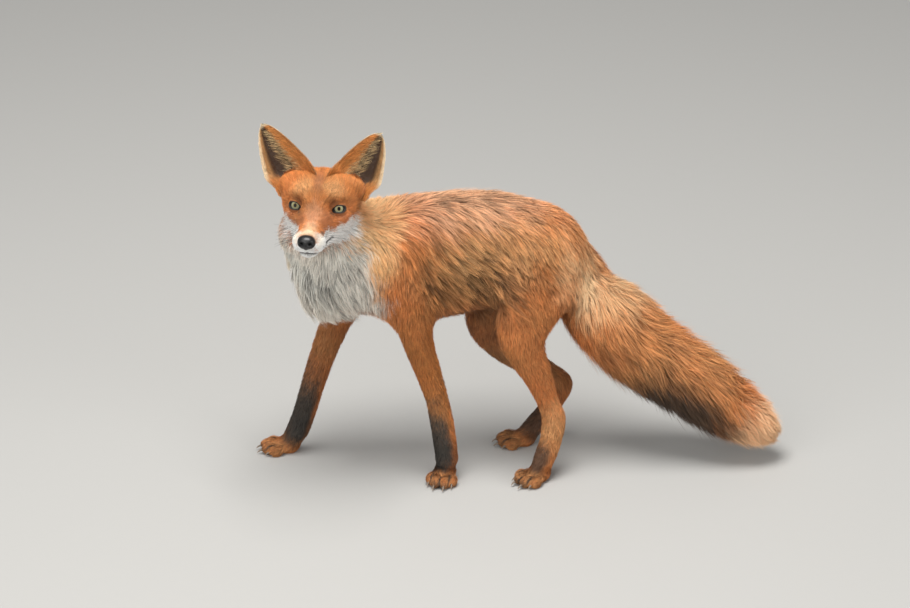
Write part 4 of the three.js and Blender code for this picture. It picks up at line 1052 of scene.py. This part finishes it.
on_skin = roots["side"] == 0
sag = UP * (roots["droop"] * length * 0.12)[:, None]
for points, share, above in ((middle, 0.3, MIDDLE_HIGH * height), (tip, 1.0, height)):
    hugged = hug((points - sag * share)[on_skin], above[on_skin])
    points += normal * above[:, None]
    points[on_skin] = hugged
print("the longest hair is", length.max().round(), "mm")

# %% [markdown]
# A wet or a long coat parts into locks. Some hairs are picked as leaders, closer together where the
# hair is short, and the tips of the others are drawn to the nearest leader's. That opens the dark gaps
# that make a coat look like fur.

# %% Locks
LOWEST_TIP, LOWEST_ROOT = 0.4, 0.2  # mm above the floor

spacing = (0.12 * roots["length"] + 1.2) * roots["gather"]
per_lock = np.maximum(layers_per_area(roots) / THIN_OUT * spacing**2, 1.5)
is_leader = rng.random(COUNT) < 1 / per_lock
leaders = np.flatnonzero(is_leader)
tree = kdtree.KDTree(len(leaders))
for i, p in enumerate(roots["place"][leaders].tolist()):
    tree.insert(p, i)
tree.balance()
lock = np.array([tree.find(p)[1] for p in roots["place"].tolist()])
lead = leaders[lock]
apart = np.linalg.norm(tip - tip[lead], axis=1)
pull = roots["locks"] * rng.uniform(0.75, 1.05, COUNT) * (apart < 2.5 * length) * ~stray
tip = mix(tip, tip[lead] + rng.normal(0, 0.35, (COUNT, 3)), pull[:, None])
middle = mix(middle, middle[lead], (0.42 * pull)[:, None])
for points, lowest in ((tip, LOWEST_TIP), (middle, LOWEST_TIP), (start, LOWEST_ROOT)):
    points[:, 2] = np.maximum(points[:, 2], lowest)
print(len(leaders), "locks")

# %% [markdown]
# A blade has seven points: left, keel and right at its root and its middle, and the tip. The keel
# stands a little proud, so that light rounds over it as it does over a real lock.

# %% The blades
ROLL = 0.42  # how unevenly the blades are turned about their length, in radians
KEEL = 0.3  # how proud the keel stands, in widths
WAIST = 0.8  # how wide a blade is at its middle, beside its root

along = unit(tip - start)
across = unit(np.cross(along, normal))
keel = np.cross(across, along)
roll = rng.normal(0, ROLL, COUNT)
c, s = np.cos(roll)[:, None], np.sin(roll)[:, None]
across, keel = across * c + keel * s, keel * c - across * s
width = roots["width"] * rng.uniform(0.7, 1.25, COUNT) * np.where(stray, 0.6, 1)
half = (across * width[:, None]) / 2
ridge = keel * (KEEL * width)[:, None]
blades = np.stack([
    start - half, start + ridge, start + half,
    middle - half * WAIST, middle + ridge * WAIST, middle + half * WAIST, tip,
], 1)
print("the mean blade is", width.mean().round(2), "mm wide")

# %% [markdown]
# ## The colour of each hair
# A guard hair is dark and woolly at the root and paler towards its tip. How much so is the grizzle.
# A texture could shade one blade like another, but on a real coat each lock has its own brightness,
# and each hair differs a little from its lock, so every blade gets three colours of its own.

# %% Root, middle and tip colours
# how dark or pale each part of a hair is, beside its marking: of a plain hair and of a grizzled one
ROOT, MIDDLE, TIP, DARK = (0.55, 0.18), (0.95, 0.70), (1.12, 1.7), (0.75, 0.42)
BRIGHTEST = 0.9

long = np.clip(roots["length"] / 22, 0.45, 1)
grizzle = roots["grizzle"]
by_lock = (0.12 + 0.24 * grizzle) * rng.standard_normal(len(leaders))[lock]
shade = 1 + long * (by_lock + 0.12 * rng.standard_normal(COUNT))
shade *= 1 + 0.07 * soft_noise(roots["place"], 26, 8)
streak = sum(soft_noise(p, 7, 12) for p in (start, middle, tip)) / 3
shade *= 1 + np.clip(roots["length"] / 30, 0.35, 1) * 0.30 * streak
warm = 0.05 * rng.standard_normal(COUNT) + 0.05 * soft_noise(roots["place"], 40, 9)
warm *= 1 - 0.85 * roots["colour"][:, 2] / roots["colour"].max(-1)  # white hair stays white
colour = roots["colour"] * np.clip(shade, 0.45, 1.6)[:, None] * (1 + warm[:, None] * [1, -0.3, -1])
dark_hair = rng.random(COUNT) < 0.10 * long + 0.22 * grizzle
colour = np.where(dark_hair[:, None], colour * mix(*DARK, grizzle)[:, None], colour)
root_colour = colour * (mix(*ROOT, grizzle) + 0.2 * (1 - long) + 0.25 * colour[:, 2])[:, None] + 0.012
middle_colour = colour * mix(*MIDDLE, grizzle)[:, None]
pale = colour * mix(*TIP, grizzle)[:, None] + (0.05 * grizzle)[:, None] * [1, 0.8, 0.5]
tip_colour = np.where(dark_hair[:, None], colour, pale)
tints = np.stack([root_colour] * 3 + [middle_colour] * 3 + [tip_colour], 1)
tints /= np.maximum(tints.max(-1, keepdims=True) / BRIGHTEST, 1)  # the brightest keep their hue
print("mean colour of the tips", tip_colour.mean(0).round(3))

# %% [markdown]
# ## A map of the skin
# Each tuft is given a place on a map of the skin. Each member is slit along its length and rolled out
# flat, with the place along it one way and the angle round it the other, in a rectangle of its own.
# Each tuft takes a small square of that map at its root, and tufts in one square share it.

# %% The unrolled skin
SQUARE = 0.003
SHEETS = {
    # left, bottom, right and top of each member's rectangle
    "trunk": (0, 0, 0.5, 0.4), "neck": (0.5, 0, 0.75, 0.28), "breast": (0.75, 0, 1, 0.28),
    "tail": (0.5, 0.28, 1, 0.58), "head": (0, 0.4, 0.5, 0.75), "foreleg_left": (0, 0.75, 0.25, 1),
    "foreleg_right": (0.25, 0.75, 0.5, 1), "hindleg_left": (0.5, 0.58, 0.75, 0.84),
    "hindleg_right": (0.75, 0.58, 1, 0.84), "ear_left": (0.5, 0.84, 0.75, 1), "ear_right": (0.75, 0.84, 1, 1),
}
HEAD_LINE = [[0, 60, 5], [0, 0, 0], [0, -80, -22]]  # from nape to nose, in the head's frame


def member_lines():
    lines = {name: np.array(points, float)[:, :3] + SHIFT for name, (_, points) in LINES.items()}
    lines["head"] = from_head(HEAD_LINE)
    for leg in PAWS:
        lines[leg] = np.concatenate([lines[leg], paw_place([[18, 0, 8]], leg)])
    return lines


def unrolled(p, side, u, v):
    """The place of each root on the map, and the number of its member."""
    best = np.full(len(p), np.inf)
    flat = np.zeros((len(p), 2))
    member = np.zeros(len(p), int)
    names = list(SHEETS)
    for name, line in member_lines().items():
        steps = np.linalg.norm(np.diff(line, axis=0), axis=1)
        done = np.concatenate([[0], np.cumsum(steps)])
        for i, (a, b) in enumerate(zip(line[:-1], line[1:])):
            t = dot(p - a, b - a) / dot(b - a, b - a)
            t = np.clip(t, 0, 1)
            off = p - a - t[:, None] * (b - a)
            gap = np.linalg.norm(off, axis=1)
            closer = (gap < best) & (side == 0)
            axis = unit(b - a)
            one = unit(np.cross(axis, [0, 1, 0.01] if name != "head" else UP))
            two = np.cross(axis, one)
            angle = np.arctan2(off @ two, off @ one) / (2 * math.pi) + 0.5
            best[closer] = gap[closer]
            flat[closer] = np.stack([angle, (done[i] + t * steps[i]) / done[-1]], 1)[closer]
            member[closer] = names.index(name)
    for value, name in ((1, "ear_left"), (-1, "ear_right")):
        chosen = side == value
        flat[chosen] = np.stack([u / 2 + 0.5, v], 1)[chosen]
        member[chosen] = names.index(name)
    sheet = np.array([SHEETS[name] for name in names])[member]
    inner = 0.01 + 0.98 * np.clip(flat, 0, 1)
    at = sheet[:, :2] + inner * (sheet[:, 2:] - sheet[:, :2])
    return (np.floor(at / SQUARE) + 0.5) * SQUARE, member


map_at, member = unrolled(roots["place"], roots["side"], roots["u"], roots["v"])
# the seven points of a blade in its square, a little inside the edges
CORNERS = np.array([[-1, -1], [0, -1], [1, -1], [-1, 0.2], [0, 0.2], [1, 0.2], [0, 1]]) * SQUARE / 2 * 0.96
print(len(np.unique(map_at, axis=0)), "squares in use")

# %% [markdown]
# ## Trees of nodes
# Materials are trees of nodes, and so is the maker of claws and whiskers below. Joined by hand, even
# a sum takes several lines, so a small class wraps a node's output and lets sums be written as sums.

# %% Writing nodes as sums
class Socket:
    """A node's output that can be used in sums as if it were a number."""

    def __init__(self, tree, output):
        self.tree, self.output = tree, output

    def maths(self, operation, a, b):
        return self.tree.add("ShaderNodeMath", {"operation": operation}, {0: a, 1: b})[0]

    def __add__(self, other):
        return self.maths("ADD", self, other)

    def __sub__(self, other):
        return self.maths("SUBTRACT", self, other)

    def __rsub__(self, other):
        return self.maths("SUBTRACT", other, self)

    def __mul__(self, other):
        return self.maths("MULTIPLY", self, other)

    def __truediv__(self, other):
        return self.maths("DIVIDE", self, other)

    def __pow__(self, other):
        return self.maths("POWER", self, other)

    __radd__ = __add__
    __rmul__ = __mul__


class Tree:
    """The nodes of a material or of a modifier."""

    def __init__(self, tree):
        self.nodes, self.links = tree.nodes, tree.links

    def add(self, kind, settings=None, inputs=None):
        """Adds a node, with its settings and its inputs' values or links, and gives its outputs."""
        node = self.nodes.new(kind)
        for key, value in (settings or {}).items():
            setattr(node, key, value)
        self.fill(node, inputs or {})
        return [Socket(self, output) for output in node.outputs]

    def fill(self, node, inputs):
        for key, value in inputs.items():
            if isinstance(value, Socket):
                self.links.new(value.output, node.inputs[key])
            else:
                node.inputs[key].default_value = value


# %% [markdown]
# ## Materials
# Hair takes its colour from the markings stored on its points. It is fairly rough, with a faint sheen
# at grazing angles. The skin below has the same markings, a shade darker, and a fine grain that
# stands for the shortest fur. Eyes and nose are wet, and horn is dull with a grain along it.

# %% Five materials
class Shader(Tree):
    """A material and its nodes."""

    def __init__(self, name):
        self.material = bpy.data.materials.new(name)
        self.material.use_nodes = True
        super().__init__(self.material.node_tree)
        self.surface = self.nodes["Principled BSDF"]

    def tint(self):
        """The colour stored on the points."""
        return self.add("ShaderNodeAttribute", {"attribute_name": "tint"})[0]

    def finish(self, **inputs):
        self.fill(self.surface, {key.replace("_", " "): value for key, value in inputs.items()})
        return self.material

    def noise(self, scale, detail=2.0, stretch=(1, 1, 1)):
        place = self.add("ShaderNodeTexCoord")[3]
        place = self.add("ShaderNodeMapping", {}, {"Vector": place, "Scale": stretch})[0]
        return self.add("ShaderNodeTexNoise", {}, {"Vector": place, "Scale": scale, "Detail": detail})[0]

    def raised(self, height, strength, distance):
        inputs = {"Height": height, "Strength": strength, "Distance": distance}
        return self.add("ShaderNodeBump", {}, inputs)[0]


def coat_material():
    m = Shader("coat")
    return m.finish(Base_Color=m.tint(), Roughness=0.58, Specular_IOR_Level=0.28,
                    Sheen_Weight=0.04, Sheen_Roughness=0.5)


def skin_material():
    m = Shader("skin")
    grain = m.noise(900, 3)
    return m.finish(Base_Color=m.tint(), Roughness=0.55 + 0.25 * grain, Normal=m.raised(grain, 0.5, 0.0006))


def eye_material():
    m = Shader("eye")
    wet = m.noise(300)
    return m.finish(Base_Color=m.tint(), Roughness=0.05 + 0.06 * wet, Specular_IOR_Level=0.15)


def nose_material():
    m = Shader("nose")
    place = m.add("ShaderNodeTexCoord")[3]
    cells = m.add("ShaderNodeTexVoronoi", {"feature": "DISTANCE_TO_EDGE"}, {"Vector": place, "Scale": 900})[0]
    return m.finish(Base_Color=m.tint(), Roughness=0.28 + 0.2 * m.noise(500), Specular_IOR_Level=0.4,
                    Coat_Weight=0.2, Coat_Roughness=0.15, Normal=m.raised(cells ** 0.5, 0.35, 0.0003))


def horn_material():
    m = Shader("horn")
    grain = m.noise(1200, 4, (1, 1, 0.2))
    return m.finish(Base_Color=m.tint(), Roughness=0.35 + 0.2 * grain, Normal=m.raised(grain, 0.25, 0.0003))


MATERIALS = {"coat": coat_material(), "skin": skin_material(), "eye": eye_material(),
             "nose": nose_material(), "horn": horn_material()}
print(list(MATERIALS), "materials")

# %% [markdown]
# ## Turning arrays into pieces
# Every piece made of arrays becomes one mesh: its points, its triangles, a colour at each point and,
# for the coat, its place on the map of the skin. Written in bulk, half a million triangles take a
# second, where one face at a time would take minutes.

# %% One mesh from arrays
def piece(name, material, slot, points, tris, tint, corners=None):
    mesh = bpy.data.meshes.new(name)
    mesh.vertices.add(len(points))
    mesh.vertices.foreach_set("co", (np.asarray(points) * MM).astype(np.float32).ravel())
    mesh.loops.add(3 * len(tris))
    mesh.loops.foreach_set("vertex_index", np.asarray(tris, np.int32).ravel())
    mesh.polygons.add(len(tris))
    mesh.polygons.foreach_set("loop_start", np.arange(len(tris), dtype=np.int32) * 3)
    mesh.polygons.foreach_set("use_smooth", np.ones(len(tris), bool))
    mesh.update(calc_edges=True)
    rgba = np.concatenate([tint, np.ones((len(tint), 1))], 1).astype(np.float32)
    mesh.color_attributes.new("tint", "FLOAT_COLOR", "POINT").data.foreach_set("color", rgba.ravel())
    if corners is not None:
        uv = corners[np.asarray(tris).ravel()].astype(np.float32)
        mesh.uv_layers.new(name="OFBake").data.foreach_set("uv", uv.ravel())
    mesh.materials.append(MATERIALS[material])
    return mount(name, mesh, slot)


def mount(name, mesh, slot):
    """The mesh as an object that rides on the body."""
    made = bpy.data.objects.new(name, mesh)
    bpy.context.scene.collection.objects.link(made)
    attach(made, "root")
    return made


# %% [markdown]
# ## The coat's pieces
# A coat of three hundred thousand blades is too much for one mesh, so each member has a piece of its
# own, or two where it needs more triangles than a piece may have. Long blades keep their keel, and
# short ones, which are too small for it to show, are flat.

# %% The coat, member by member
KEELED = np.arange(7), np.array([[0, 1, 4], [0, 4, 3], [1, 2, 5], [1, 5, 4], [3, 4, 6], [4, 5, 6]])
FLAT = np.array([0, 2, 3, 5, 6]), np.array([[0, 1, 3], [0, 3, 2], [2, 3, 4]])
SHORT = 9.5  # mm of hair up to which a blade needs no keel
MOST = 190000  # triangles in a piece


def coat_arrays(part):
    """The points, triangles, colours and map places of some tufts, the long ones keeled."""
    short = roots["length"][part] < SHORT
    arrays, start = [], 0
    for these, (columns, tris) in ((part[~short], KEELED), (part[short], FLAT)):
        n = len(these)
        every = (tris[None] + len(columns) * np.arange(n)[:, None, None]).reshape(-1, 3) + start
        uv = (map_at[these][:, None] + CORNERS[columns]).reshape(-1, 2)
        arrays.append((
            blades[these][:, columns].reshape(-1, 3), every, tints[these][:, columns].reshape(-1, 3), uv))
        start += n * len(columns)
    return [np.concatenate(pair) for pair in zip(*arrays)]


for number, name in enumerate(SHEETS):
    chosen = np.flatnonzero(member == number)
    chosen = chosen[np.argsort(roots["place"][chosen, 0], kind="stable")]
    faces = np.where(roots["length"][chosen] < SHORT, len(FLAT[1]), len(KEELED[1]))
    pieces = faces.sum() // MOST + 1
    for k in range(pieces):
        part = chosen[np.cumsum(faces) * pieces // (faces.sum() + 1) == k]
        points, tris, tint, uv = coat_arrays(part)
        piece(f"coat_{name}_{k + 1}", "coat", "coat", points, tris, tint, uv)
        print(f"coat_{name}_{k + 1}", len(part), "tufts,", len(tris), "triangles")

# %% [markdown]
# ## Skin, lids and ears in one
# The three surfaces are joined into one skin, which stands for all the solids of flesh and both
# ears. It is darker than the coat, as skin at the bottom of fur is in shade.

# %% The skin's piece
LID_RIM = (0.008, 0.007, 0.006)


def lid_tint(piece):
    tint, _ = markings_and_shade(piece["points"], np.tile(UP, (len(piece["points"]), 1)))
    dark = 1 - step(piece["row"], 2.2, 3.6)
    return mix(tint * 0.8, np.array(LID_RIM), dark[:, None])


def ear_tint(piece):
    return ear_markings(piece["u"], piece["v"], piece["inside"]) * 0.6


surfaces = [(skin.points, skin.tris, skin_colour * (0.6 + 0.35 * skin_colour[:, 2:]))]
surfaces += [(lid_piece["points"], lid_piece["tris"], lid_tint(lid_piece)) for lid_piece in lids]
surfaces += [(ear_piece["points"], ear_piece["tris"], ear_tint(ear_piece)) for ear_piece in ears]
offsets = np.cumsum([0] + [len(points) for points, _, _ in surfaces])
skin_piece = piece(
    "skin", "skin", "coat",
    np.concatenate([points for points, _, _ in surfaces]),
    np.concatenate([tris + offset for (_, tris, _), offset in zip(surfaces, offsets)]),
    np.concatenate([tint for _, _, tint in surfaces]),
)
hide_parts(*[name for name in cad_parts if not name.startswith(("eye", "nose"))])
print(len(skin_piece.data.polygons), "triangles of skin, lids and ears")

# %% [markdown]
# ## Eyes
# A fox's eye has a pale grey-gold iris that fills the opening, with a dark ring round it and a small
# dark pupil. The ball is built in rings about the line of sight, so iris and pupil are true circles,
# and the cornea bulges a little over them.

# %% Two eyeballs
AHEAD = unit(np.array([-0.19, -0.885, 0.42]))  # what both eyes are turned to
IRIS, PUPIL = 5.9, (1.95, 2.4)  # the radius of the iris, and half the width and height of the pupil
CORNEA = 0.5  # mm that it bulges
IRIS_INNER, IRIS_OUTER, IRIS_RING = (0.25, 0.20, 0.085), (0.26, 0.26, 0.165), (0.02, 0.016, 0.012)
PUPIL_BLACK, EYE_WHITE = (0.004, 0.004, 0.004), (0.03, 0.022, 0.018)  # a fox's eye shows dark, not white


def rings(count, around, shape):
    """A closed surface of revolution's points from shape(t, angle), with t from 0 at one pole to 1."""
    t = np.linspace(0, 1, count + 2)[1:-1]
    angle = np.arange(around) * 2 * math.pi / around
    tt, aa = np.meshgrid(t, angle, indexing="ij")
    points = np.concatenate([
        shape(np.zeros(1), np.zeros(1)), shape(tt.ravel(), aa.ravel()), shape(np.ones(1), np.zeros(1))])
    j, i = np.meshgrid(np.arange(count - 1), np.arange(around), indexing="ij")
    a, b = (1 + j * around + i).ravel(), (1 + j * around + (i + 1) % around).ravel()
    i = np.arange(around)
    last = len(points) - 1
    first = 1 + (count - 1) * around
    tris = [np.stack([a, a + around, b + around], -1), np.stack([a, b + around, b], -1)]
    tris += [np.stack([np.zeros(around, int), 1 + i, 1 + (i + 1) % around], -1)]
    tris += [np.stack([np.full(around, last), first + (i + 1) % around, first + i], -1)]
    return points, np.concatenate(tris)


def eyeball(side, name):
    at = from_head(EYE * [side, 1, 1])
    sight = unit(0.5 * turn_from_head(LOOK * [side, 1, 1]) + 0.5 * AHEAD)
    across = unit(np.cross(UP, sight))
    high = np.cross(sight, across)

    def shape(t, angle):
        turn = t * math.pi
        cornea = CORNEA * np.clip(1 - (turn / 0.82) ** 2, 0, 1)
        out = np.cos(turn)[:, None] * sight + np.sin(turn)[:, None] * (
            np.cos(angle)[:, None] * across + np.sin(angle)[:, None] * high)
        return at + out * (EYE_RADIUS + cornea)[:, None]

    points, tris = rings(72, 72, shape)
    out = points - at
    x, y = out @ across, out @ high
    r, angle = np.hypot(x, y), np.arctan2(y, x)
    behind = out @ sight < 0
    fibres = 0.5 + 0.5 * np.sin(angle * 31 + 2 * np.sin(angle * 7 + r)) * np.sin(angle * 17 + r * 2)
    iris = mix(np.array(IRIS_INNER), np.array(IRIS_OUTER), step(r, 2.0, 4.2)[:, None])
    iris = iris * (0.70 + 0.40 * fibres)[:, None]
    iris = mix(iris, np.array(IRIS_RING), step(r, IRIS - 1.5, IRIS - 0.3)[:, None])
    pupil = 1 - step(np.hypot(x / PUPIL[0], y / PUPIL[1]), 0.9, 1.12)
    tint = mix(iris, np.array(PUPIL_BLACK), pupil[:, None])
    tint = np.where((behind | (r > IRIS))[:, None], np.array(EYE_WHITE), tint)
    made = piece(name, "eye", "eye", points, tris, tint)
    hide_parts(name.replace("eyeball", "eye"))
    print(name, "looks along", sight.round(2))


eyeball(1, "eyeball_left")
eyeball(-1, "eyeball_right")

# %% [markdown]
# ## The nose
# The nose pad is bare, black and pebbled. Its nostrils are commas that curl out to the sides, and a
# groove runs down its middle to the lip. Cut holes would need care at their edges, so one closed ball
# is squared a little and pushed in where the nostrils and the groove are. Its pebbles are a bump.

# %% The nose pad
# the nostrils' darker black is painted shade in their hollows
NOSE_BLACK, NOSTRIL_SHADE = (0.007, 0.007, 0.0075), (0.003, 0.003, 0.003)


def nose_shape(t, angle):
    turn = t * math.pi
    out = np.stack([np.sin(turn) * np.cos(angle), -np.cos(turn), np.sin(turn) * np.sin(angle)], 1)
    flat = np.sign(out) * np.abs(out) ** [0.86, 1, 0.92]
    p = flat * (NOSE_HALF - 0.3)
    x, z = np.abs(p[:, 0]), p[:, 2]
    front = step(-p[:, 1], 0.5, 4)
    hole = np.exp(-(((x - 4.9) / 1.9) ** 2 + ((z + 0.4) / 1.7) ** 2))
    slit = np.exp(-(((x - 7.8) / 2.4) ** 2 + ((z + 2.2) / 0.9) ** 2))
    groove = np.exp(-((p[:, 0] / 0.75) ** 2)) * step(-z, -1, 2)
    p[:, 1] += front * (4.4 * hole + 2.0 * slit + 1.0 * groove)
    p[:, 2] -= 1.2 * step(-p[:, 2], 3, 8) * step(np.abs(p[:, 0]), 3, 0)
    return from_head(p + NOSE)


nose_points, nose_tris = rings(84, 96, nose_shape)
own = to_head(nose_points) - NOSE
# painted shade: the hollows of the nostrils are painted a darker black than the pad
deep = np.exp(-(((np.abs(own[:, 0]) - 5.1) / 1.9) ** 2 + ((own[:, 2] + 0.5) / 1.6) ** 2)) * (own[:, 1] < 0)
nose_tint = mix(np.array(NOSE_BLACK), np.array(NOSTRIL_SHADE), deep[:, None])
nose_pad = piece("nose_pad", "nose", "nose", nose_points, nose_tris, nose_tint)
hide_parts("nose")
print("the nose pad is", np.ptp(own, axis=0).round(1), "mm")

# %% [markdown]
# ## Claws and whiskers
# A claw is a curved cone of horn, and a whisker a long stiff hair on the lip. Each could be a cone that
# is bent by hand. But all of them are a circle swept along a bent line while it shrinks, so one tree
# of nodes makes them from a mesh of lines: it sets the radius and the colour by how far along its line
# a point is, and sweeps the circle.

# %% A tree that sweeps tapered tubes
TAPER = 1.5  # above 1, a tube stays thick at first and thins near its tip


def tapered_tubes():
    """The group of nodes, and the identifier of each of its inputs by name."""
    group = bpy.data.node_groups.new("tapered tubes", "GeometryNodeTree")
    inputs = {}
    for name, kind in (("Lines", "Geometry"), ("Points", "Int"), ("Sides", "Int"), ("Root radius", "Float"),
                       ("Tip radius", "Float"), ("Root colour", "Color"), ("Tip colour", "Color"),
                       ("Material", "Material")):
        made = group.interface.new_socket(name, in_out="INPUT", socket_type="NodeSocket" + kind)
        inputs[name] = made.identifier
    group.interface.new_socket("Tubes", in_out="OUTPUT", socket_type="NodeSocketGeometry")
    t = Tree(group)
    lines, points, sides, root, tip, root_colour, tip_colour, material, _ = t.add("NodeGroupInput")
    done = t.add("GeometryNodeSplineParameter")[2] / (points - 1)
    thinned = done ** TAPER
    radius = root * (1 - thinned) + tip * thinned
    curves = t.add("GeometryNodeMeshToCurve", {}, {"Mesh": lines})[0]
    tint = t.add("ShaderNodeMix", {"data_type": "RGBA"}, {0: done, 6: root_colour, 7: tip_colour})[2]
    curves = t.add("GeometryNodeStoreNamedAttribute", {"data_type": "FLOAT_COLOR", "domain": "POINT"},
                   {"Geometry": curves, "Name": "tint", "Value": tint})[0]
    circle = t.add("GeometryNodeCurvePrimitiveCircle", {}, {"Resolution": sides, "Radius": 1.0})[0]
    swept = t.add("GeometryNodeCurveToMesh", {},
                  {"Curve": curves, "Profile Curve": circle, "Scale": radius, "Fill Caps": True})[0]
    swept = t.add("GeometryNodeTriangulate", {}, {"Mesh": swept})[0]
    swept = t.add("GeometryNodeRealizeInstances", {}, {"Geometry": swept})[0]
    swept = t.add("GeometryNodeSetMaterial", {}, {"Geometry": swept, "Material": material})[0]
    t.add("NodeGroupOutput", {}, {"Tubes": swept})
    return group, inputs


TUBES, TUBE_INPUTS = tapered_tubes()


def bent(a, b, c, count):
    """Points of a line from a to c, bent towards b."""
    t = np.linspace(0, 1, count)[:, None]
    a, b, c = (np.array(p, float) for p in (a, b, c))
    return (1 - t) ** 2 * a + 2 * t * (1 - t) * b + t**2 * c


def tubes(name, slot, lines, sides, radii, colours):
    """A piece of tubes along the lines, with a radius and a colour at the root and at the tip."""
    points, each = np.concatenate(lines), len(lines[0])
    starts = np.arange(len(points)).reshape(-1, each)[:, :-1].ravel()
    mesh = bpy.data.meshes.new(name)
    mesh.from_pydata((points * MM).tolist(), np.stack([starts, starts + 1], 1).tolist(), [])
    bare = bpy.data.objects.new(name, mesh)
    modifier = bare.modifiers.new("sweep", "NODES")
    modifier.node_group = TUBES
    values = {"Points": each, "Sides": sides, "Root radius": radii[0] * MM, "Tip radius": radii[1] * MM,
              "Root colour": (*colours[0], 1), "Tip colour": (*colours[1], 1), "Material": MATERIALS["horn"]}
    for key, value in values.items():
        modifier[TUBE_INPUTS[key]] = value
    bpy.context.scene.collection.objects.link(bare)
    swept = bpy.data.meshes.new_from_object(bare.evaluated_get(bpy.context.evaluated_depsgraph_get()))
    bpy.data.objects.remove(bare)
    bpy.data.meshes.remove(mesh)
    swept.name = name
    swept.polygons.foreach_set("use_smooth", np.ones(len(swept.polygons), bool))
    print(name, len(lines), "tubes,", len(swept.polygons), "triangles")
    return mount(name, swept, slot)


# %% [markdown]
# A fox can't draw its claws in, so they always show beyond the hair of the toes. They are pale at the
# worn tip. Whiskers grow in three rows from the pads of the upper lip, longer towards the back.

# %% Sixteen claws and the whiskers
CLAW = np.array([[-5.4, 0, -0.5], [3.2, 0, 1.9], [7, 0, -3.6]])  # root, bend and tip, from the toe's end
CLAW_HIGH = 6.2
claws = []
for leg in PAWS:
    for at, half_size, turn in TOES:
        c, s = math.cos(math.radians(turn)), math.sin(math.radians(turn))
        turned = np.array([[c, s, 0], [-s, c, 0], [0, 0, 1]])
        end = [at[0] + half_size[0] - 3, at[1], CLAW_HIGH]
        claws.append(bent(*paw_place(CLAW @ turned + end, leg), 9))
tubes("claws", "horn", claws, 10, (1.8, 0.35), ((0.10, 0.07, 0.05), (0.26, 0.20, 0.15)))

WHISKER_ROWS = ((-19, 0.15), (-23, -0.1), (-27, -0.35))  # how high each is, and how far it rises
WHISKER_TINT = (0.03, 0.03, 0.03)
whiskers = []
for side in (1, -1):
    for row, rise in WHISKER_ROWS:
        for k in range(4):
            root = np.array([side * (11.5 + 1.2 * k), -66 + 6.0 * k, row])
            far = rng.uniform(30, 44) * (0.75 + 0.1 * k)
            way = unit(np.array([side, 0.15 + 0.22 * k, rise + rng.normal(0, 0.06)]))
            bend = root + way * far * 0.5 + [0, 0, 2.5]
            end = root + way * far + [0, 3.0, -4.0]
            whiskers.append(bent(*from_head([root - way * 2, bend, end]), 8))
tubes("whiskers", "coat", whiskers, 4, (0.17, 0.04), (WHISKER_TINT, WHISKER_TINT))

# %% [markdown]
# ## Light, floor and camera
# Three wide soft lamps light the fox evenly: one high above for an overcast sky, one before it on the
# left, and a weak one on the right that opens the shadows. They and the grey world are at a plain
# level, at which colours show about as they are written. The camera looks down at the fox's left side
# from five metres away.

# %% The stage
def area_light(name, at, size, energy, colour):
    light = bpy.data.lights.new(name, "AREA")
    light.shape, light.size, light.energy, light.color = "DISK", size, energy, colour
    made = bpy.data.objects.new(name, light)
    made.location = at
    made.rotation_euler = (Vector(at) - AIM).to_track_quat("Z", "Y").to_euler()
    bpy.context.scene.collection.objects.link(made)


def floor_material():
    m = Shader("floor")
    grain = m.noise(60, 4)
    return m.finish(Base_Color=(0.44, 0.437, 0.425, 1), Roughness=0.75 + 0.15 * grain)


AIM = Vector((*(SHIFT[:2] * MM), 0.20))
CAMERA_AZIMUTH, CAMERA_ELEVATION, CAMERA_AWAY = math.radians(-12), math.radians(25), 5.0
view = Vector((math.sin(CAMERA_AZIMUTH) * math.cos(CAMERA_ELEVATION),
               -math.cos(CAMERA_AZIMUTH) * math.cos(CAMERA_ELEVATION), math.sin(CAMERA_ELEVATION)))
camera = bpy.data.objects.new("camera", bpy.data.cameras.new("camera"))
camera.data.lens, camera.data.sensor_width = 155, 36
camera.data.clip_end = 50
camera.location = AIM + view * CAMERA_AWAY
camera.rotation_euler = view.to_track_quat("Z", "Y").to_euler()
bpy.context.scene.collection.objects.link(camera)
bpy.context.scene.camera = camera

# name: place, size in metres, power in watts, colour
area_light("sky", (-0.35, -0.55, 2.95), 1.6, 96, (1.0, 0.985, 0.96))
area_light("front", (-2.6, -2.6, 2.0), 3.8, 82, (1.0, 0.98, 0.95))
area_light("side", (2.6, -2.9, 1.5), 2.4, 37, (1.0, 0.985, 0.96))
world = bpy.data.worlds.new("world")
world.use_nodes = True
sky = world.node_tree.nodes["Background"].inputs
sky["Color"].default_value, sky["Strength"].default_value = (0.95, 0.945, 0.93, 1), 0.37
bpy.context.scene.world = world
bpy.context.scene.view_settings.view_transform = "Standard"

floor_mesh = bpy.data.meshes.new("floor")
floor_mesh.from_pydata([(-6, -6, 0), (6, -6, 0), (6, 6, 0), (-6, 6, 0)], [], [(0, 1, 2, 3)])
floor_mesh.materials.append(floor_material())
floor = bpy.data.objects.new("floor", floor_mesh)
bpy.context.scene.collection.objects.link(floor)
